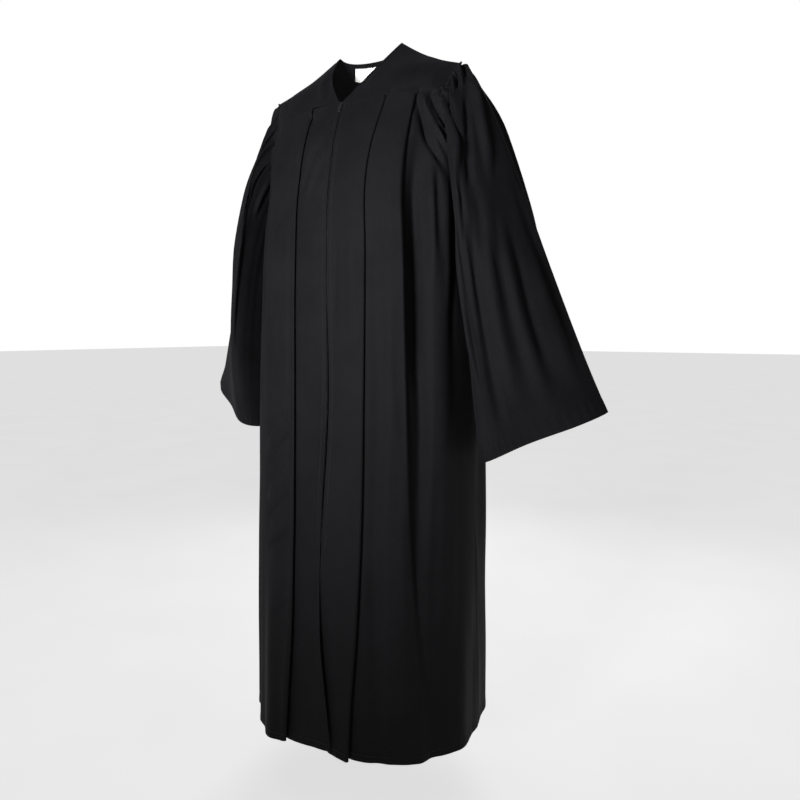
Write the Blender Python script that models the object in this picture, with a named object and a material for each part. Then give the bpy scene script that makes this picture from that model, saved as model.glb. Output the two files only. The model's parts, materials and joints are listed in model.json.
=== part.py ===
"""Choir robe: a full length yoked gown, worn open at the hem, held out by its wearer.

Metres, +Z up, the front faces -Y, the wearer's left is +X. The origin is the middle of the
line between the two points where the shoulder seams meet the neck.
Every piece of cloth is a wall of even thickness on a grid: columns across the piece,
rows from its top seam down to its hem.
"""
import math

import bmesh
import bpy
import numpy as np
from mathutils import Matrix

for old in list(bpy.data.objects):
    bpy.data.objects.remove(old)

# Driving dimensions
LENGTH = 1.295            # neck point to hem, a gown of size 51
WALL = 0.0016             # cloth wall
SEAM_GAP = 0.0003         # between neighbouring pieces
HALF_WALL = WALL / 2

NECK_POINT = (0.0717, 0.006, 0.0)
SHOULDER_TIP = (0.2080, -0.0220, -0.0710)
SHOULDER_HOLLOW = 0.007               # dip of the shoulder seam at its middle
V_BOW = (0.010, -0.010, 0.0)          # how far each V edge bows out at its middle
BACK_NECK = (0.0, 0.036, -0.011)

FRONT_SEAM_Z = -0.1160                # front yoke seam at the centre
FRONT_SEAM_DROP = 0.013               # how much lower it is at the armhole
FRONT_SEAM_END = 0.200                # its length from the centre to the armhole
BACK_SEAM_Z = -0.150                  # back yoke seam
BACK_SEAM_END = 0.200                 # half its length
UNDERARM_Z = -0.272
BODY_CENTRE_Y = 0.010
SLIDER_TOP_Z = -0.1190
SLIDER_FOOT_Z = -0.1320
HEM_DIP = 0.008                       # how much lower the left front hangs
HEM_RISE = 0.010                      # how much higher the right front's edge hangs
FRONT_EDGE_GAP = 0.0006               # each front edge stays this far from the zip's middle
SLIDER_OPENING = 0.0042               # and this much further at the top, beside the slider

# The tube of the body. Half width, depth of the front and of the back from the line of the
# side seams, squareness of the outline, and the turn towards the wearer's left in degrees.
SECTION_COLUMNS = ("z", "half_width", "front", "back", "square", "turn")
BODY_SECTIONS = [
    (-1.295, 0.2310, 0.215, 0.220, 2.1, 9.0),
    (-1.100, 0.2280, 0.202, 0.210, 2.2, 7.0),
    (-0.920, 0.2250, 0.189, 0.198, 2.3, 5.0),
    (-0.660, 0.2210, 0.177, 0.178, 2.4, 5.0),
    (-0.400, 0.2165, 0.159, 0.147, 2.5, 2.0),
    (-0.272, 0.2110, 0.143, 0.120, 2.6, 0.0),
    (-0.200, 0.2080, 0.126, 0.100, 2.8, 0.0),
    (-0.140, 0.2060, 0.102, 0.084, 3.0, 0.0),
    (-0.100, 0.2040, 0.088, 0.072, 3.0, 0.0),
]

# Pleats of the fronts, at these heights. A pleat's place is the distance of its folded edge
# from the centre front, along the outline. "centre" is the front's own free edge. "faces" is
# 1 where the inner fold points to the side seam and -1 where it points to the centre.
PLEAT_HEIGHTS = (-1.295, -1.190, -1.100, -0.920, -0.660, -0.400, -0.230, -0.125)
LEFT_PLEATS = {
    "centre": (0.016, 0.003, -0.003, 0.008, 0.015, 0.011, 0.009, 0.002),
    "inner": (0.059, 0.065, 0.073, 0.084, 0.084, 0.087, 0.086, 0.096),
    "outer": (0.185, 0.183, 0.180, 0.172, 0.158, 0.154, 0.150, 0.152),
    "centre_out": (-0.007, -0.009, -0.006, 0.000, 0.000, 0.000, 0.000, 0.000),
    "faces": 1,
}
RIGHT_PLEATS = {
    "centre": (-0.030, -0.018, -0.009, -0.006, -0.013, -0.009, -0.007, -0.002),
    "inner": (0.070, 0.062, 0.057, 0.055, 0.060, 0.063, 0.063, 0.066),
    "outer": (0.166, 0.164, 0.162, 0.160, 0.156, 0.152, 0.150, 0.146),
    "centre_out": (0.006, 0.004, 0.004, 0.000, 0.000, 0.000, 0.000, 0.000),
    "faces": -1,
}
# How far each fold turns back under itself (negative where it has opened out), and the
# distance from one layer of it to the next.
INNER_UNDER = (0.012, 0.011, 0.010, 0.009, 0.009, 0.010, 0.012, 0.018)
OUTER_UNDER = (-0.014, -0.010, -0.004, 0.003, 0.008, 0.010, 0.012, 0.018)
INNER_PLY = (0.0066, 0.0064, 0.0058, 0.0048, 0.0038, 0.0032, 0.0028, 0.0026)
OUTER_PLY = (0.0050, 0.0048, 0.0046, 0.0042, 0.0038, 0.0034, 0.0030, 0.0026)

# Soft valleys and ridges of the fronts: which front, distance from the centre front, half
# width, and height out of the outline at the hem, the knee, the hip, the chest and the seam.
SWELL_HEIGHTS = (-1.295, -1.050, -0.660, -0.250, -0.125)
FRONT_SWELLS = [
    ("left", 0.182, 0.026, (0.000, -0.006, -0.013, -0.012, -0.003)),
    ("left", 0.225, 0.028, (0.002, 0.005, 0.006, 0.003, 0.000)),
    ("left", 0.268, 0.060, (0.018, 0.008, -0.002, 0.000, 0.000)),
    ("left", 0.110, 0.022, (-0.003, -0.005, -0.004, -0.001, 0.000)),
    ("right", 0.178, 0.026, (-0.002, -0.006, -0.010, -0.009, -0.003)),
    ("right", 0.225, 0.028, (0.004, 0.005, 0.005, 0.003, 0.000)),
    ("right", 0.280, 0.026, (-0.004, -0.005, -0.004, 0.000, 0.000)),
    ("right", 0.108, 0.034, (0.010, 0.003, -0.004, -0.002, 0.000)),
    ("right", 0.205, 0.040, (-0.016, -0.003, 0.000, 0.000, 0.000)),
]

# The back's gathers, counted across the whole back, and how far they stand out.
BACK_GATHERS = 11
BACK_GATHER_DEPTH = 0.0055
BACK_FLUTES = 5
BACK_FLUTE_DEPTH = 0.0110

COLOURS = {
    "cloth": (0.012, 0.012, 0.014),
    "tape": (0.010, 0.010, 0.011),
    "metal": (0.020, 0.020, 0.022),
    "label": (0.80, 0.80, 0.78),
}


def smooth(x):
    x = np.clip(x, 0.0, 1.0)
    return x * x * (3 - 2 * x)


def bump(distance, half_width):
    """A soft hump: 1 in the middle, 0 from half_width outwards."""
    x = np.clip(np.abs(distance) / half_width, 0.0, 1.0)
    return 0.5 + 0.5 * np.cos(math.pi * x)


def mix(a, b, share):
    return np.asarray(a, float) * (1 - share) + np.asarray(b, float) * share


def section_value(column, z):
    """One column of the body's table at height z."""
    index = SECTION_COLUMNS.index(column)
    heights = [row[0] for row in BODY_SECTIONS]
    return float(np.interp(z, heights, [row[index] for row in BODY_SECTIONS]))


def outline(z, steps=361):
    """Half of the body's plan outline at height z, from centre front to centre back."""
    phi = np.linspace(0.0, math.pi, steps)
    power = 2.0 / section_value("square", z)
    sine = np.abs(np.sin(phi)) ** power
    cosine = np.sign(np.cos(phi)) * np.abs(np.cos(phi)) ** power
    depth = np.where(cosine > 0, section_value("front", z), section_value("back", z))
    x = section_value("half_width", z) * sine
    y = BODY_CENTRE_Y - depth * cosine
    points = np.stack([x, y], axis=1)
    steps = np.linalg.norm(np.diff(points, axis=0), axis=1)
    lengths = np.concatenate([[0.0], np.cumsum(steps)])
    return points, lengths


def side_arc(z):
    """Length of the outline from the centre front to the side seam."""
    points, lengths = outline(z)
    return float(lengths[np.argmax(points[:, 0])])


def half_girth(z):
    return float(outline(z)[1][-1])


def on_body(z, arc, out=0.0, side=1):
    """The point at height z, at an arc length from the centre front, moved out of the outline.

    side is 1 for the wearer's left and -1 for the right. A negative arc crosses the centre.
    """
    points, lengths = outline(z)
    reach = 0.004

    def at(length):
        span = lengths[-1]
        folded = span - abs(span - abs(length))
        sign = -1.0 if length < 0 or length > span else 1.0
        x = np.interp(folded, lengths, points[:, 0])
        y = np.interp(folded, lengths, points[:, 1])
        return np.array([sign * x, y])

    tangent = at(arc + reach) - at(arc - reach)
    tangent /= np.linalg.norm(tangent)
    place = at(arc) + out * np.array([tangent[1], -tangent[0]])
    turn = math.radians(section_value("turn", z))
    x = side * place[0]
    y = place[1] - BODY_CENTRE_Y
    turned_x = math.cos(turn) * x - math.sin(turn) * y
    turned_y = math.sin(turn) * x + math.cos(turn) * y
    return np.array([turned_x, BODY_CENTRE_Y + turned_y, z])


def front_seam_z(arc):
    """Height of the front yoke seam."""
    return FRONT_SEAM_Z - FRONT_SEAM_DROP * min(abs(arc) / FRONT_SEAM_END, 1.0) ** 1.5


def front_armhole(share):
    """Arc and height on the front armhole, from the yoke seam (0) to the underarm (1)."""
    top = front_seam_z(FRONT_SEAM_END)
    z = top + (UNDERARM_Z - top) * share
    end = side_arc(UNDERARM_Z) - SEAM_GAP / 2
    arc = FRONT_SEAM_END + (end - FRONT_SEAM_END) * share ** 1.7
    return arc, z


def back_armhole(share):
    """Arc from the centre back and height on the back armhole, yoke seam to underarm."""
    z = BACK_SEAM_Z + (UNDERARM_Z - BACK_SEAM_Z) * share
    end = half_girth(UNDERARM_Z) - side_arc(UNDERARM_Z) - SEAM_GAP / 2
    arc = BACK_SEAM_END + (end - BACK_SEAM_END) * share ** 1.5
    return arc, z


def wall(name, middle, out, thickness, colour, closed=False):
    """A closed wall around a grid of middle points, with its outward direction at each."""
    rows, columns = middle.shape[:2]
    layers = (middle + out * thickness / 2, middle - out * thickness / 2)
    mesh = bmesh.new()
    grid = [[[mesh.verts.new(point) for point in row] for row in layer] for layer in layers]
    last = columns if closed else columns - 1
    for row in range(rows - 1):
        for column in range(last):
            beside = (column + 1) % columns
            for layer, order in ((0, 1), (1, -1)):
                corners = [grid[layer][row][column], grid[layer][row][beside],
                           grid[layer][row + 1][beside], grid[layer][row + 1][column]]
                mesh.faces.new(corners[::order])
    for column in range(last):
        beside = (column + 1) % columns
        for row, order in ((0, -1), (rows - 1, 1)):
            corners = [grid[0][row][column], grid[0][row][beside],
                       grid[1][row][beside], grid[1][row][column]]
            mesh.faces.new(corners[::order])
    if not closed:
        for row in range(rows - 1):
            for column, order in ((0, 1), (columns - 1, -1)):
                corners = [grid[0][row][column], grid[0][row + 1][column],
                           grid[1][row + 1][column], grid[1][row][column]]
                mesh.faces.new(corners[::order])
    bmesh.ops.recalc_face_normals(mesh, faces=mesh.faces)
    if mesh.calc_volume(signed=True) < 0:
        bmesh.ops.reverse_faces(mesh, faces=mesh.faces)
    return finish(name, mesh, colour)


def finish(name, mesh, colour, metallic=0.0, roughness=0.8):
    """Turn a bmesh into a named object with its own material."""
    data = bpy.data.meshes.new(name)
    mesh.to_mesh(data)
    mesh.free()
    material = bpy.data.materials.new(name)
    material.use_nodes = True
    shader = material.node_tree.nodes["Principled BSDF"]
    shader.inputs["Base Color"].default_value = (*COLOURS[colour], 1.0)
    shader.inputs["Roughness"].default_value = roughness
    shader.inputs["Metallic"].default_value = metallic
    data.materials.append(material)
    part = bpy.data.objects.new(name, data)
    bpy.context.scene.collection.objects.link(part)
    return part


# Fronts

STRIP_SHARES = (0.0, 0.09, 0.40, 0.72, 0.93)          # columns from the free edge to the first fold
BETWEEN_SHARES = (0.12, 0.34, 0.58, 0.80, 0.94)       # columns between the two folds
SIDE_SHARES = (0.07, 0.16, 0.26, 0.38, 0.52, 0.66, 0.80, 0.91, 1.0)
SEAM_SHARE = 0.38         # the side column that starts at the corner of yoke and armhole
ROW_SHARES = (0, 0.011, 0.022, 0.05, 0.085, 0.13, 0.19, 0.26, 0.35, 0.45, 0.56, 0.682, 0.79, 0.89,
              1.0)        # rows of the fronts and the back, by share of the drop to the hem
ZIP_END_ROW = 11          # the row at which the zip ends and the opening starts
SETTLE_SHARE = 0.30       # share of the drop over which the columns spread out


def pleat(table, name, z):
    return float(np.interp(z, PLEAT_HEIGHTS, table[name]))


def front_edge(table, z):
    """Arc of a front's free edge, which stands back from the slider at the top of the zip."""
    beside_slider = float(smooth((z - SLIDER_FOOT_Z + 0.008) / 0.010))
    return pleat(table, "centre", z) + FRONT_EDGE_GAP + SLIDER_OPENING * beside_slider


def hem_z(side_name, arc):
    """Height of the hem: the left front dips, and the right front rises to its edge."""
    if side_name == "left":
        return -LENGTH - HEM_DIP * float(bump(arc - 0.16, 0.15))
    return -LENGTH + HEM_RISE * float(bump(arc + 0.03, 0.14))


def fold_points(edge, under, ply, faces=1):
    """Six (arc, out) points of a fold, from the layer nearer the centre to the other one."""
    half = ply / 2
    tucked = max(under, 1.5 * ply)
    closed = np.array([(-half, 2 * ply), (0.0, 1.5 * ply), (-half, ply),
                       (half - tucked, ply), (-tucked, half), (half - tucked, 0.0)])
    share = np.linspace(0.0, 1.0, 6)
    width = 3 * ply - min(under, 0.0)
    opened = np.stack([width * share - half, 2 * ply * (1 - smooth(share))], axis=1)
    openness = float(smooth(1.0 - under / (1.5 * ply)))
    points = mix(closed, opened, openness)
    if faces < 0:
        points = points[::-1] * np.array([-1.0, 1.0])
    points[:, 0] += edge
    return points


def swell(side_name, arc, z):
    height = 0.0
    for name, centre, half_width, heights in FRONT_SWELLS:
        if name == side_name:
            height += float(np.interp(z, SWELL_HEIGHTS, heights)) * float(bump(arc - centre, half_width))
    return height


def strip(start, end, shares):
    """Points of a flat strip at these shares of the way from start to end."""
    return [mix(start, end, share) for share in shares]


def front_profile(table, z):
    """(arc, out) of every column between the free edge and the outer pleat, at height z."""
    under, ply, outer_under, outer_ply = [
        float(np.interp(z, PLEAT_HEIGHTS, row)) for row in (INNER_UNDER, INNER_PLY, OUTER_UNDER, OUTER_PLY)]
    edge_out = ply + pleat(table, "centre_out", z)
    inner = fold_points(pleat(table, "inner", z), under, ply, table["faces"])
    outer = fold_points(pleat(table, "outer", z), outer_under, outer_ply)
    points = strip((front_edge(table, z), edge_out), inner[0], STRIP_SHARES)
    points += list(inner)
    points += strip(inner[-1], outer[0], BETWEEN_SHARES)
    points += list(outer)
    return points


def make_front(side_name, side, table):
    """One front: the yoke seam and front armhole at its top, the zip's edge, the side seam."""
    top_z = front_seam_z(0.0)
    inner_count = len(front_profile(table, top_z))
    hem_profile = front_profile(table, -LENGTH)
    columns = []
    for index in range(inner_count):
        top = front_seam_z(front_profile(table, top_z)[index][0])
        columns.append(("pleats", index, None, None, top, hem_z(side_name, hem_profile[index][0])))
    outer_top = pleat(table, "outer", top_z)
    for share in SIDE_SHARES:
        if share <= SEAM_SHARE:
            arc = outer_top + (FRONT_SEAM_END - outer_top) * share / SEAM_SHARE
            height = front_seam_z(arc)
        else:
            arc, height = front_armhole((share - SEAM_SHARE) / (1 - SEAM_SHARE))
        hem_arc = mix(pleat(table, "outer", -LENGTH), side_arc(-LENGTH), share)
        columns.append(("side", None, share, arc, height, hem_z(side_name, hem_arc)))
    grid = []
    for row_share in ROW_SHARES:
        row = []
        for kind, index, share, top_arc, top, foot in columns:
            z = top + (foot - top) * row_share
            if kind == "pleats":
                arc, out = front_profile(table, z)[index]
            else:
                outer = pleat(table, "outer", z)
                settled = outer + (side_arc(z) - SEAM_GAP / 2 - outer) * share
                arc = float(mix(top_arc, settled, smooth(row_share / SETTLE_SHARE)))
                out = 0.0
            row.append(on_body(z, arc, out + swell(side_name, arc, z), side))
        grid.append(row)
    middle = np.array(grid)
    return wall("front_" + side_name, middle, plan_normals(middle, side), WALL, "cloth")


def plan_normals(middle, side):
    """Outward directions in plan, for a grid whose columns run from the centre to the side."""
    tangent = np.gradient(middle, axis=1)
    normal = np.stack([tangent[..., 1], -tangent[..., 0], np.zeros(middle.shape[:2])], axis=2)
    return side * normal / np.linalg.norm(normal, axis=2, keepdims=True)


# Back

BACK_COLUMNS = 61
BACK_SEAM_COLUMNS = 0.74   # share of the columns that start on the yoke seam


def back_column(share):
    """Where a column of the back starts: arc from the centre back, and height."""
    across = abs(share)
    if across <= BACK_SEAM_COLUMNS:
        arc = BACK_SEAM_END * across / BACK_SEAM_COLUMNS
        z = BACK_SEAM_Z
    else:
        arc, z = back_armhole((across - BACK_SEAM_COLUMNS) / (1 - BACK_SEAM_COLUMNS))
    return math.copysign(arc, share), z


def back_out(share, row_share):
    """Fine gathers below the yoke that settle into a few broad flutes lower down."""
    in_seam = 1 - float(smooth((abs(share) - 0.62) / 0.18))
    swell_in = 0.35 + 0.65 * float(smooth(row_share / 0.05))
    fade = 1 - float(smooth((row_share - 0.06) / 0.34))
    gathers = math.cos(math.pi * BACK_GATHERS * share / BACK_SEAM_COLUMNS)
    flutes = math.cos(math.pi * BACK_FLUTES * share) * (1 - abs(share) ** 4)
    settle = float(smooth((row_share - 0.05) / 0.55))
    return (BACK_GATHER_DEPTH * gathers * swell_in * fade * in_seam
            + BACK_FLUTE_DEPTH * (flutes - 0.3) * settle)


def make_back():
    grid = []
    shares = np.linspace(-1.0, 1.0, BACK_COLUMNS)
    for row_share in ROW_SHARES[:1] + ROW_SHARES[2:]:
        row = []
        for share in shares:
            top_arc, top = back_column(share)
            z = top + (-LENGTH - top) * row_share
            settled = (half_girth(z) - side_arc(z) - SEAM_GAP / 2) * share
            arc = float(mix(top_arc, settled, smooth(row_share / SETTLE_SHARE)))
            fringe = 1 - abs(share) ** 8
            row.append(on_body(z, half_girth(z) + arc, back_out(share, row_share) * fringe, 1))
        grid.append(row)
    middle = np.array(grid)
    return wall("back", middle, plan_normals(middle, 1), WALL, "cloth")


# Yokes

FRONT_YOKE_DROPS = (0.0, 0.2, 0.4, 0.6, 0.8, 1.0)
YOKE_RISE = 0.0026        # the yoke's lower edge stands on the middle of the pleats
SHOULDER_OUT = (0.30, 0.0, 0.954)
BACK_BULGE = (0.0, 0.011, 0.010)
FRONT_BULGE = (0.001, -0.006, 0.004)
ARMHOLE_HOLLOW = (-0.0025, 0.0, 0.004)
BACK_ARMHOLE_BULGE = (-0.001, 0.008, 0.010)


def mirrored(point, side):
    return np.array([side * point[0], point[1], point[2]])


def shoulder_seam(share):
    """From the neck (0) to the tip of the shoulder (1), a little hollow."""
    point = mix(NECK_POINT, SHOULDER_TIP, share)
    point[2] -= SHOULDER_HOLLOW * math.sin(math.pi * share)
    return point


def neck_edge(share):
    """The V, from the neck point (0) down to the front seam (1)."""
    foot = front_seam(0.0)
    return mix(NECK_POINT, foot, share) + np.array(V_BOW) * math.sin(math.pi * share)


def front_seam(share):
    """The lower edge of a front yoke, from the centre (0) to the armhole (1)."""
    start = FRONT_EDGE_GAP + SLIDER_OPENING
    arc = start + (FRONT_SEAM_END - start) * share
    rise = YOKE_RISE * (1 - float(smooth((share - 0.8) / 0.2)))
    return on_body(front_seam_z(arc) + SEAM_GAP, arc, rise)


def yoke_armhole_front(share):
    """From the tip of the shoulder (0) down to the front seam (1)."""
    return (mix(SHOULDER_TIP, front_seam(1.0), share)
            + np.array(ARMHOLE_HOLLOW) * math.sin(math.pi * share))


def back_seam(arc):
    """The lower edge of the back yoke, by arc from the centre back."""
    girth = half_girth(BACK_SEAM_Z)
    return on_body(BACK_SEAM_Z + SEAM_GAP, girth + arc, 0.0)


def yoke_armhole_back(share):
    """From the tip of the left shoulder (0) down to the back seam (1)."""
    return (mix(SHOULDER_TIP, back_seam(-BACK_SEAM_END), share)
            + np.array(BACK_ARMHOLE_BULGE) * math.sin(math.pi * share))


def unit(vectors):
    vectors = np.asarray(vectors, float)
    return vectors / np.linalg.norm(vectors, axis=-1, keepdims=True)


def blended_out(middle, top_out, shares):
    """Outward directions that go from those of the top edge to plan normals at the lower."""
    foot = plan_normals(middle, 1)[-1]
    return unit(np.array([mix(top_out, foot, smooth(share)) for share in shares]))


def make_front_yoke(side_name, side):
    across = np.linspace(0.0, 1.0, 14)
    down = FRONT_YOKE_DROPS
    lift = np.array([0.0, -SEAM_GAP / 2, 0.0])
    corners = [shoulder_seam(0.0), shoulder_seam(1.0), front_seam(0.0), front_seam(1.0)]
    grid = []
    for t in down:
        row = []
        for s in across:
            ruled_down = mix(shoulder_seam(s), front_seam(s), t)
            ruled_across = mix(neck_edge(t), yoke_armhole_front(t), s)
            plain = mix(mix(corners[0], corners[1], s), mix(corners[2], corners[3], s), t)
            bulge = np.array(FRONT_BULGE) * math.sin(math.pi * s) * math.sin(math.pi * t)
            row.append(ruled_down + ruled_across - plain + bulge + lift * (1 - t))
        grid.append(row)
    middle = np.array(grid)
    out = blended_out(middle, [SHOULDER_OUT] * len(across), down)
    middle[..., 0] *= side
    out[..., 0] *= side
    return wall("yoke_front_" + side_name, middle, out, WALL, "cloth")


def back_neck(share):
    """The back of the neck, from its left point (0) to its right point (1)."""
    angle = math.pi * share
    depth = math.sin(angle) ** 0.7
    x = NECK_POINT[0] * math.cos(angle)
    y = NECK_POINT[1] + (BACK_NECK[1] - NECK_POINT[1]) * depth
    return np.array([x, y, BACK_NECK[2] * depth])


BACK_YOKE_SHOULDER = 0.33  # share of the back yoke's columns on each shoulder seam
BACK_YOKE_DROPS = (0.0, 0.065, 0.175, 0.290, 0.50, 0.75, 1.0)
LABEL_SHARES = (0.450, 0.635)              # of the back yoke, left edge to right edge
LABEL_DROPS = BACK_YOKE_DROPS[1:4]         # of the back yoke, upper edge to lower edge


def back_yoke_top(share):
    """The back yoke's upper edge, left shoulder tip (0) to the right one (1), and its
    outward direction."""
    if share < BACK_YOKE_SHOULDER:
        point = shoulder_seam(1 - share / BACK_YOKE_SHOULDER)
        return point + np.array([0, SEAM_GAP / 2, 0]), unit(SHOULDER_OUT)
    if share > 1 - BACK_YOKE_SHOULDER:
        point, out = back_yoke_top(1 - share)
        return mirrored(point, -1), mirrored(out, -1)
    along = (share - BACK_YOKE_SHOULDER) / (1 - 2 * BACK_YOKE_SHOULDER)
    lean = math.cos(math.pi * along)
    point = back_neck(along) + np.array([0, SEAM_GAP / 2, 0])
    return point, unit((SHOULDER_OUT[0] * lean, 0.55 * (1 - abs(lean)), SHOULDER_OUT[2]))


def back_yoke(share, down):
    """A point of the back yoke and its outward direction."""
    top, top_out = back_yoke_top(share)
    foot_arc = BACK_SEAM_END * (2 * share - 1)
    foot = back_seam(foot_arc)
    ahead = back_seam(foot_arc + 0.002) - back_seam(foot_arc - 0.002)
    foot_out = unit((ahead[1], -ahead[0], 0.0))
    edge_left = yoke_armhole_back(down) - mix(SHOULDER_TIP, back_seam(-BACK_SEAM_END), down)
    edge = mix(edge_left, mirrored(edge_left, -1), share)
    bulge = np.array(BACK_BULGE) * math.sin(math.pi * share) * math.sin(math.pi * down)
    point = mix(top, foot, down) + edge + bulge
    return point, unit(mix(top_out, foot_out, smooth(down)))


def back_yoke_columns():
    """Even columns, and one at each edge of the label."""
    even = [share for share in np.linspace(0.0, 1.0, 31)
            if min(abs(share - edge) for edge in LABEL_SHARES) > 0.012]
    return sorted(even + list(LABEL_SHARES))


def make_back_yoke():
    rows = [[back_yoke(share, down) for share in back_yoke_columns()] for down in BACK_YOKE_DROPS]
    middle = np.array([[point for point, _ in row] for row in rows])
    out = np.array([[direction for _, direction in row] for row in rows])
    return wall("yoke_back", middle, out, WALL, "cloth")


# Sleeves

SLEEVE_ROWS = (0, 0.02, 0.05, 0.09, 0.14, 0.20, 0.28, 0.38, 0.50, 0.63, 0.76, 0.88, 1.0)
SLEEVE_COLUMNS = 46
SLEEVE_GATHERS = 13       # round the whole armhole, showing only over the head
SLEEVE_GATHER_DEPTH = 0.0045
SLEEVE_SEAM_GAP = 0.0007
SLEEVE_PUFF = 0.030       # how far the sleeve stands out beyond the armhole
SIDE_PUFF = 0.012         # and how much further in front and behind
SIDE_SPREAD = 0.048       # how far it spreads forwards and backwards there
HEAD_RISE = 0.016         # how far its head rises above the armhole
UNDER_DROP = 0.011        # how fast its underside falls
ELBOW_SHARE = 0.45        # how far up from the hem the elbow is
FRONT_FULLNESS = (0.012, 0.085)   # how much further its front spreads at the shoulder and elbow
# How each sleeve hangs: fullness of its head, how far it falls in at the elbow, and how
# far its hem is lifted and tucked in.
SLEEVE_POSES = {
    "left": {"head": 0.016, "elbow": 0.034, "lift": 0.0, "tuck": 0.0},
    "right": {"head": 0.000, "elbow": 0.078, "lift": 0.024, "tuck": 0.004},
}
# The hem of the left sleeve, from the outer tip forwards and round. "ring" is the share of
# the armhole, from the tip of the shoulder forwards, that each point hangs from.
SLEEVE_HEM = [
    # ring, x, y, z
    (0.000, 0.4570, 0.049, -0.672),
    (0.090, 0.4280, 0.004, -0.690),
    (0.200, 0.3550, -0.032, -0.722),
    (0.330, 0.3000, -0.062, -0.752),
    (0.420, 0.2700, -0.044, -0.762),
    (0.500, 0.2520, 0.030, -0.762),
    (0.580, 0.2550, 0.100, -0.750),
    (0.670, 0.3000, 0.125, -0.728),
    (0.800, 0.3700, 0.118, -0.698),
    (0.910, 0.4330, 0.088, -0.676),
]


def ring():
    """The armhole that the sleeve is sewn to, from the tip of the shoulder forwards.

    It runs through the same points as the edges of the yokes, the front and the back. Each
    entry is the edge's point, the direction away from the body's piece, the outward
    direction of the sleeve there, and that of the body's piece.
    """
    entries = []
    front_shares = [(share - SEAM_SHARE) / (1 - SEAM_SHARE) for share in SIDE_SHARES]
    across = np.linspace(0.0, 1.0, BACK_COLUMNS // 2 + 1)
    back_shares = [(share - BACK_SEAM_COLUMNS) / (1 - BACK_SEAM_COLUMNS) for share in across]
    front_foot = on_body(front_seam_z(FRONT_SEAM_END), FRONT_SEAM_END, 1.0) - front_seam(1.0)
    back_foot = on_body(BACK_SEAM_Z, half_girth(BACK_SEAM_Z) - BACK_SEAM_END, 1.0) - back_seam(-BACK_SEAM_END)
    for share in FRONT_YOKE_DROPS:
        piece_out = unit(mix(SHOULDER_OUT, front_foot, smooth(share)))
        away = (1, -0.1 * share, -0.15 * (1 - share))
        entries.append((yoke_armhole_front(share), away, (0.1, -share, 1 - share), piece_out))
    for share in front_shares:
        if share > 0:
            arc, z = front_armhole(share)
            edge = on_body(z, arc, swell("left", arc, z))
            away = (1 - 0.5 * share, -0.1, 1.2 * share ** 2)
            entries.append((edge, away, (0.1, share - 1, -share ** 2), on_body(z, arc, 1.0) - edge))
    for share in back_shares[:-1][::-1]:
        if share > 0:
            arc, z = back_armhole(share)
            edge = on_body(z, half_girth(z) - arc)
            away = (1 - 0.5 * share, 0.1, 1.2 * share ** 2)
            piece_out = on_body(z, half_girth(z) - arc, 1.0) - edge
            entries.append((edge, away, (0.1, 1 - share, -share ** 2), piece_out))
    for share in BACK_YOKE_DROPS[:0:-1]:
        piece_out = unit(mix(SHOULDER_OUT, back_foot, smooth(share)))
        away = (1, 0.1 * share, -0.15 * (1 - share))
        entries.append((yoke_armhole_back(share), away, (0.1, share, 1 - share), piece_out))
    return entries


def around(shares, rows, share):
    """A smooth closed curve through rows of values given at the shares of a loop."""
    count = len(shares)
    place = share % 1.0
    start = max(index for index in range(count) if shares[index] <= place)
    ends = [shares[start], shares[start + 1] if start + 1 < count else 1.0]
    t = (place - ends[0]) / (ends[1] - ends[0])
    p = [np.array(rows[(start + step) % count], float) for step in (-1, 0, 1, 2)]
    return 0.5 * (2 * p[1] + (p[2] - p[0]) * t + (2 * p[0] - 5 * p[1] + 4 * p[2] - p[3]) * t ** 2
                  + (3 * p[1] - p[0] - 3 * p[2] + p[3]) * t ** 3)


def sleeve_gather(share, row_share):
    """Gathers of the sleeve head: fullest over the shoulder, gone below the underarm."""
    head = 0.5 + 0.5 * math.cos(2 * math.pi * share)
    rise = 0.2 + 0.8 * float(smooth(row_share / 0.05))
    fade = 1 - float(smooth((row_share - 0.04) / 0.30))
    return SLEEVE_GATHER_DEPTH * head * rise * fade * math.cos(2 * math.pi * SLEEVE_GATHERS * share)


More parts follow.
